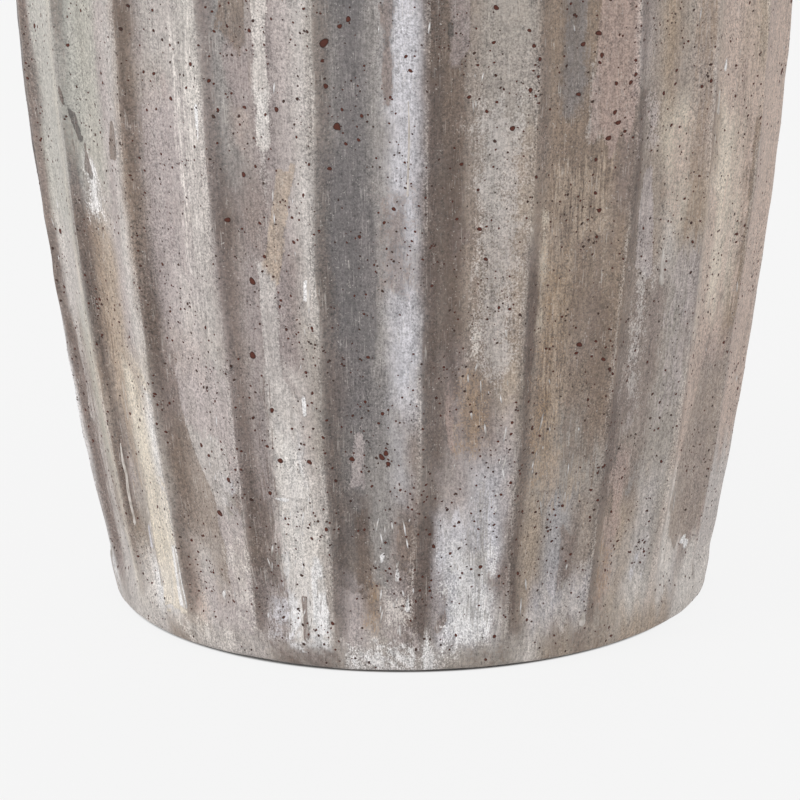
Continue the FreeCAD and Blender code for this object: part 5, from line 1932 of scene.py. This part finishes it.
spots = placed(IRON_SPECKLES) + free_speckles()
iron = iron_material()
speckle_draw = np.random.RandomState(808)
speckles = dabs("iron_speckles", spots, speckle_draw, SPECKLE_STRETCHES, SPECKLE_LIFT, iron)
settle(speckles, "glazed_body")

fleck_draw = np.random.RandomState(909)
fleck_glaze = thick_glaze_material("fleck_glaze", "chalk", 0.3)
flecks = dabs("glaze_flecks", fleck_spots(fleck_draw), fleck_draw, FLECK_STRETCHES, FLECK_LIFT, fleck_glaze)
settle(flecks, "glazed_body")

runs = glaze_runs("glaze_runs", thick_glaze_material("run_glaze", "warm_white", 0.22))
settle(runs, "glazed_body")

# Studio

BACKGROUND = (0.939, 0.939, 0.939, 1)
FLOOR_COLOUR = (0.8, 0.8, 0.8, 1)
AMBIENT_COLOUR = (1, 1, 1, 1)
AMBIENT = 0.47
FLOOR_SIZE = 30
FLOOR_SHOWN_SHARE = 0.93
GAP_RADIUS = 107.9 * MM
GAP_EDGE = 1.5 * MM
LIGHTS_AIM = (0, 0, 0.2)
# Name, azimuth, elevation, distance, width and level of each light
LIGHTS = (
    ("key", -58, 18, 2.6, 1.3, 0.53),
    ("fill", 62, 6, 3.0, 1.8, 0.35),
    ("rear", 172, 22, 3.0, 2.0, 0.38),
)
CAMERA_LENS = 239.85
CAMERA_SENSOR = 36
CAMERA_CLIP = (0.1, 60)
CAMERA_PLACE = (0, -1.8999, 0.6259)
CAMERA_PAN = 0.084
CAMERA_TILT = 73.680
CAMERA_ROLL = -0.54


def studio_floor():
    """Large pale floor. Seen straight or in a reflection it is nearly even, and it keeps a soft shadow."""
    look = Shader("studio_floor")
    look.surface_inputs(Base_Color=FLOOR_COLOUR, Roughness=0.9, Specular_IOR_Level=0.1)
    glow = look.nodes.new("ShaderNodeEmission")
    glow.inputs["Color"].default_value = BACKGROUND
    paths = look.nodes.new("ShaderNodeLightPath")
    seen = look.math("MAXIMUM", paths.outputs["Is Camera Ray"], paths.outputs["Is Glossy Ray"])
    # The glow ends under the foot, so that the gap there stays as dark as it is
    reach = look.nodes.new("ShaderNodeVectorMath")
    reach.operation = "LENGTH"
    look.feed(reach.inputs[0], look.place())
    outside = look.spread(reach.outputs["Value"], GAP_RADIUS - GAP_EDGE, GAP_RADIUS)
    seen = look.math("MULTIPLY", seen, outside)
    blend = look.nodes.new("ShaderNodeMixShader")
    look.feed(blend.inputs[0], look.math("MULTIPLY", seen, FLOOR_SHOWN_SHARE))
    look.feed(blend.inputs[1], look.surface.outputs[0])
    look.feed(blend.inputs[2], glow.outputs[0])
    look.feed(look.nodes["Material Output"].inputs["Surface"], blend.outputs[0])
    half = FLOOR_SIZE / 2
    corners = [(-half, -half, 0), (half, -half, 0), (half, half, 0), (-half, half, 0)]
    add_piece("studio_floor", corners, [(0, 1, 2, 3)], look.material)


def studio_world():
    """Even soft light from all round, on a background that shows nearly white."""
    world = bpy.data.worlds.new("studio_world")
    world.use_nodes = True
    bpy.context.scene.world = world
    nodes = world.node_tree.nodes
    links = world.node_tree.links
    ambient = nodes["Background"]
    ambient.inputs["Color"].default_value = AMBIENT_COLOUR
    ambient.inputs["Strength"].default_value = AMBIENT
    shown = nodes.new("ShaderNodeBackground")
    shown.inputs["Color"].default_value = BACKGROUND
    paths = nodes.new("ShaderNodeLightPath")
    blend = nodes.new("ShaderNodeMixShader")
    links.new(paths.outputs["Is Camera Ray"], blend.inputs[0])
    links.new(ambient.outputs[0], blend.inputs[1])
    links.new(shown.outputs[0], blend.inputs[2])
    links.new(blend.outputs[0], nodes["World Output"].inputs["Surface"])


def softbox(name, azimuth, elevation, distance, width, level):
    """Square soft light aimed at the middle of the vase. Its level is how bright it makes a white card that
    faces it, where 1 is white."""
    turn, rise = math.radians(azimuth), math.radians(elevation)
    back = (math.sin(turn) * math.cos(rise), -math.cos(turn) * math.cos(rise), math.sin(rise))
    data = bpy.data.lights.new(name, "AREA")
    data.size = width
    data.energy = level * (math.pi * distance) ** 2
    item = bpy.data.objects.new(name, data)
    item.location = [middle + distance * part for middle, part in zip(LIGHTS_AIM, back)]
    aim = bpy.data.objects.new(f"{name}_aim", None)
    aim.location = LIGHTS_AIM
    item.visible_camera = False
    bpy.context.scene.collection.objects.link(item)
    bpy.context.scene.collection.objects.link(aim)
    track = item.constraints.new("TRACK_TO")
    track.target = aim
    track.track_axis = "TRACK_NEGATIVE_Z"
    track.up_axis = "UP_Y"


def studio_camera():
    """Long lens a little above the vase, whose frame takes in its lower part."""
    data = bpy.data.cameras.new("camera")
    data.lens = CAMERA_LENS
    data.sensor_width = CAMERA_SENSOR
    data.clip_start, data.clip_end = CAMERA_CLIP
    camera = bpy.data.objects.new("camera", data)
    turned = Matrix.Translation(CAMERA_PLACE)
    for angle, axis in ((CAMERA_PAN, "Z"), (CAMERA_TILT, "X"), (CAMERA_ROLL, "Z")):
        turned = turned @ Matrix.Rotation(math.radians(angle), 4, axis)
    camera.matrix_world = turned
    bpy.context.scene.collection.objects.link(camera)
    bpy.context.scene.camera = camera


studio_floor()
studio_world()
for light in LIGHTS:
    softbox(*light)
studio_camera()
bpy.context.scene.view_settings.view_transform = "Standard"
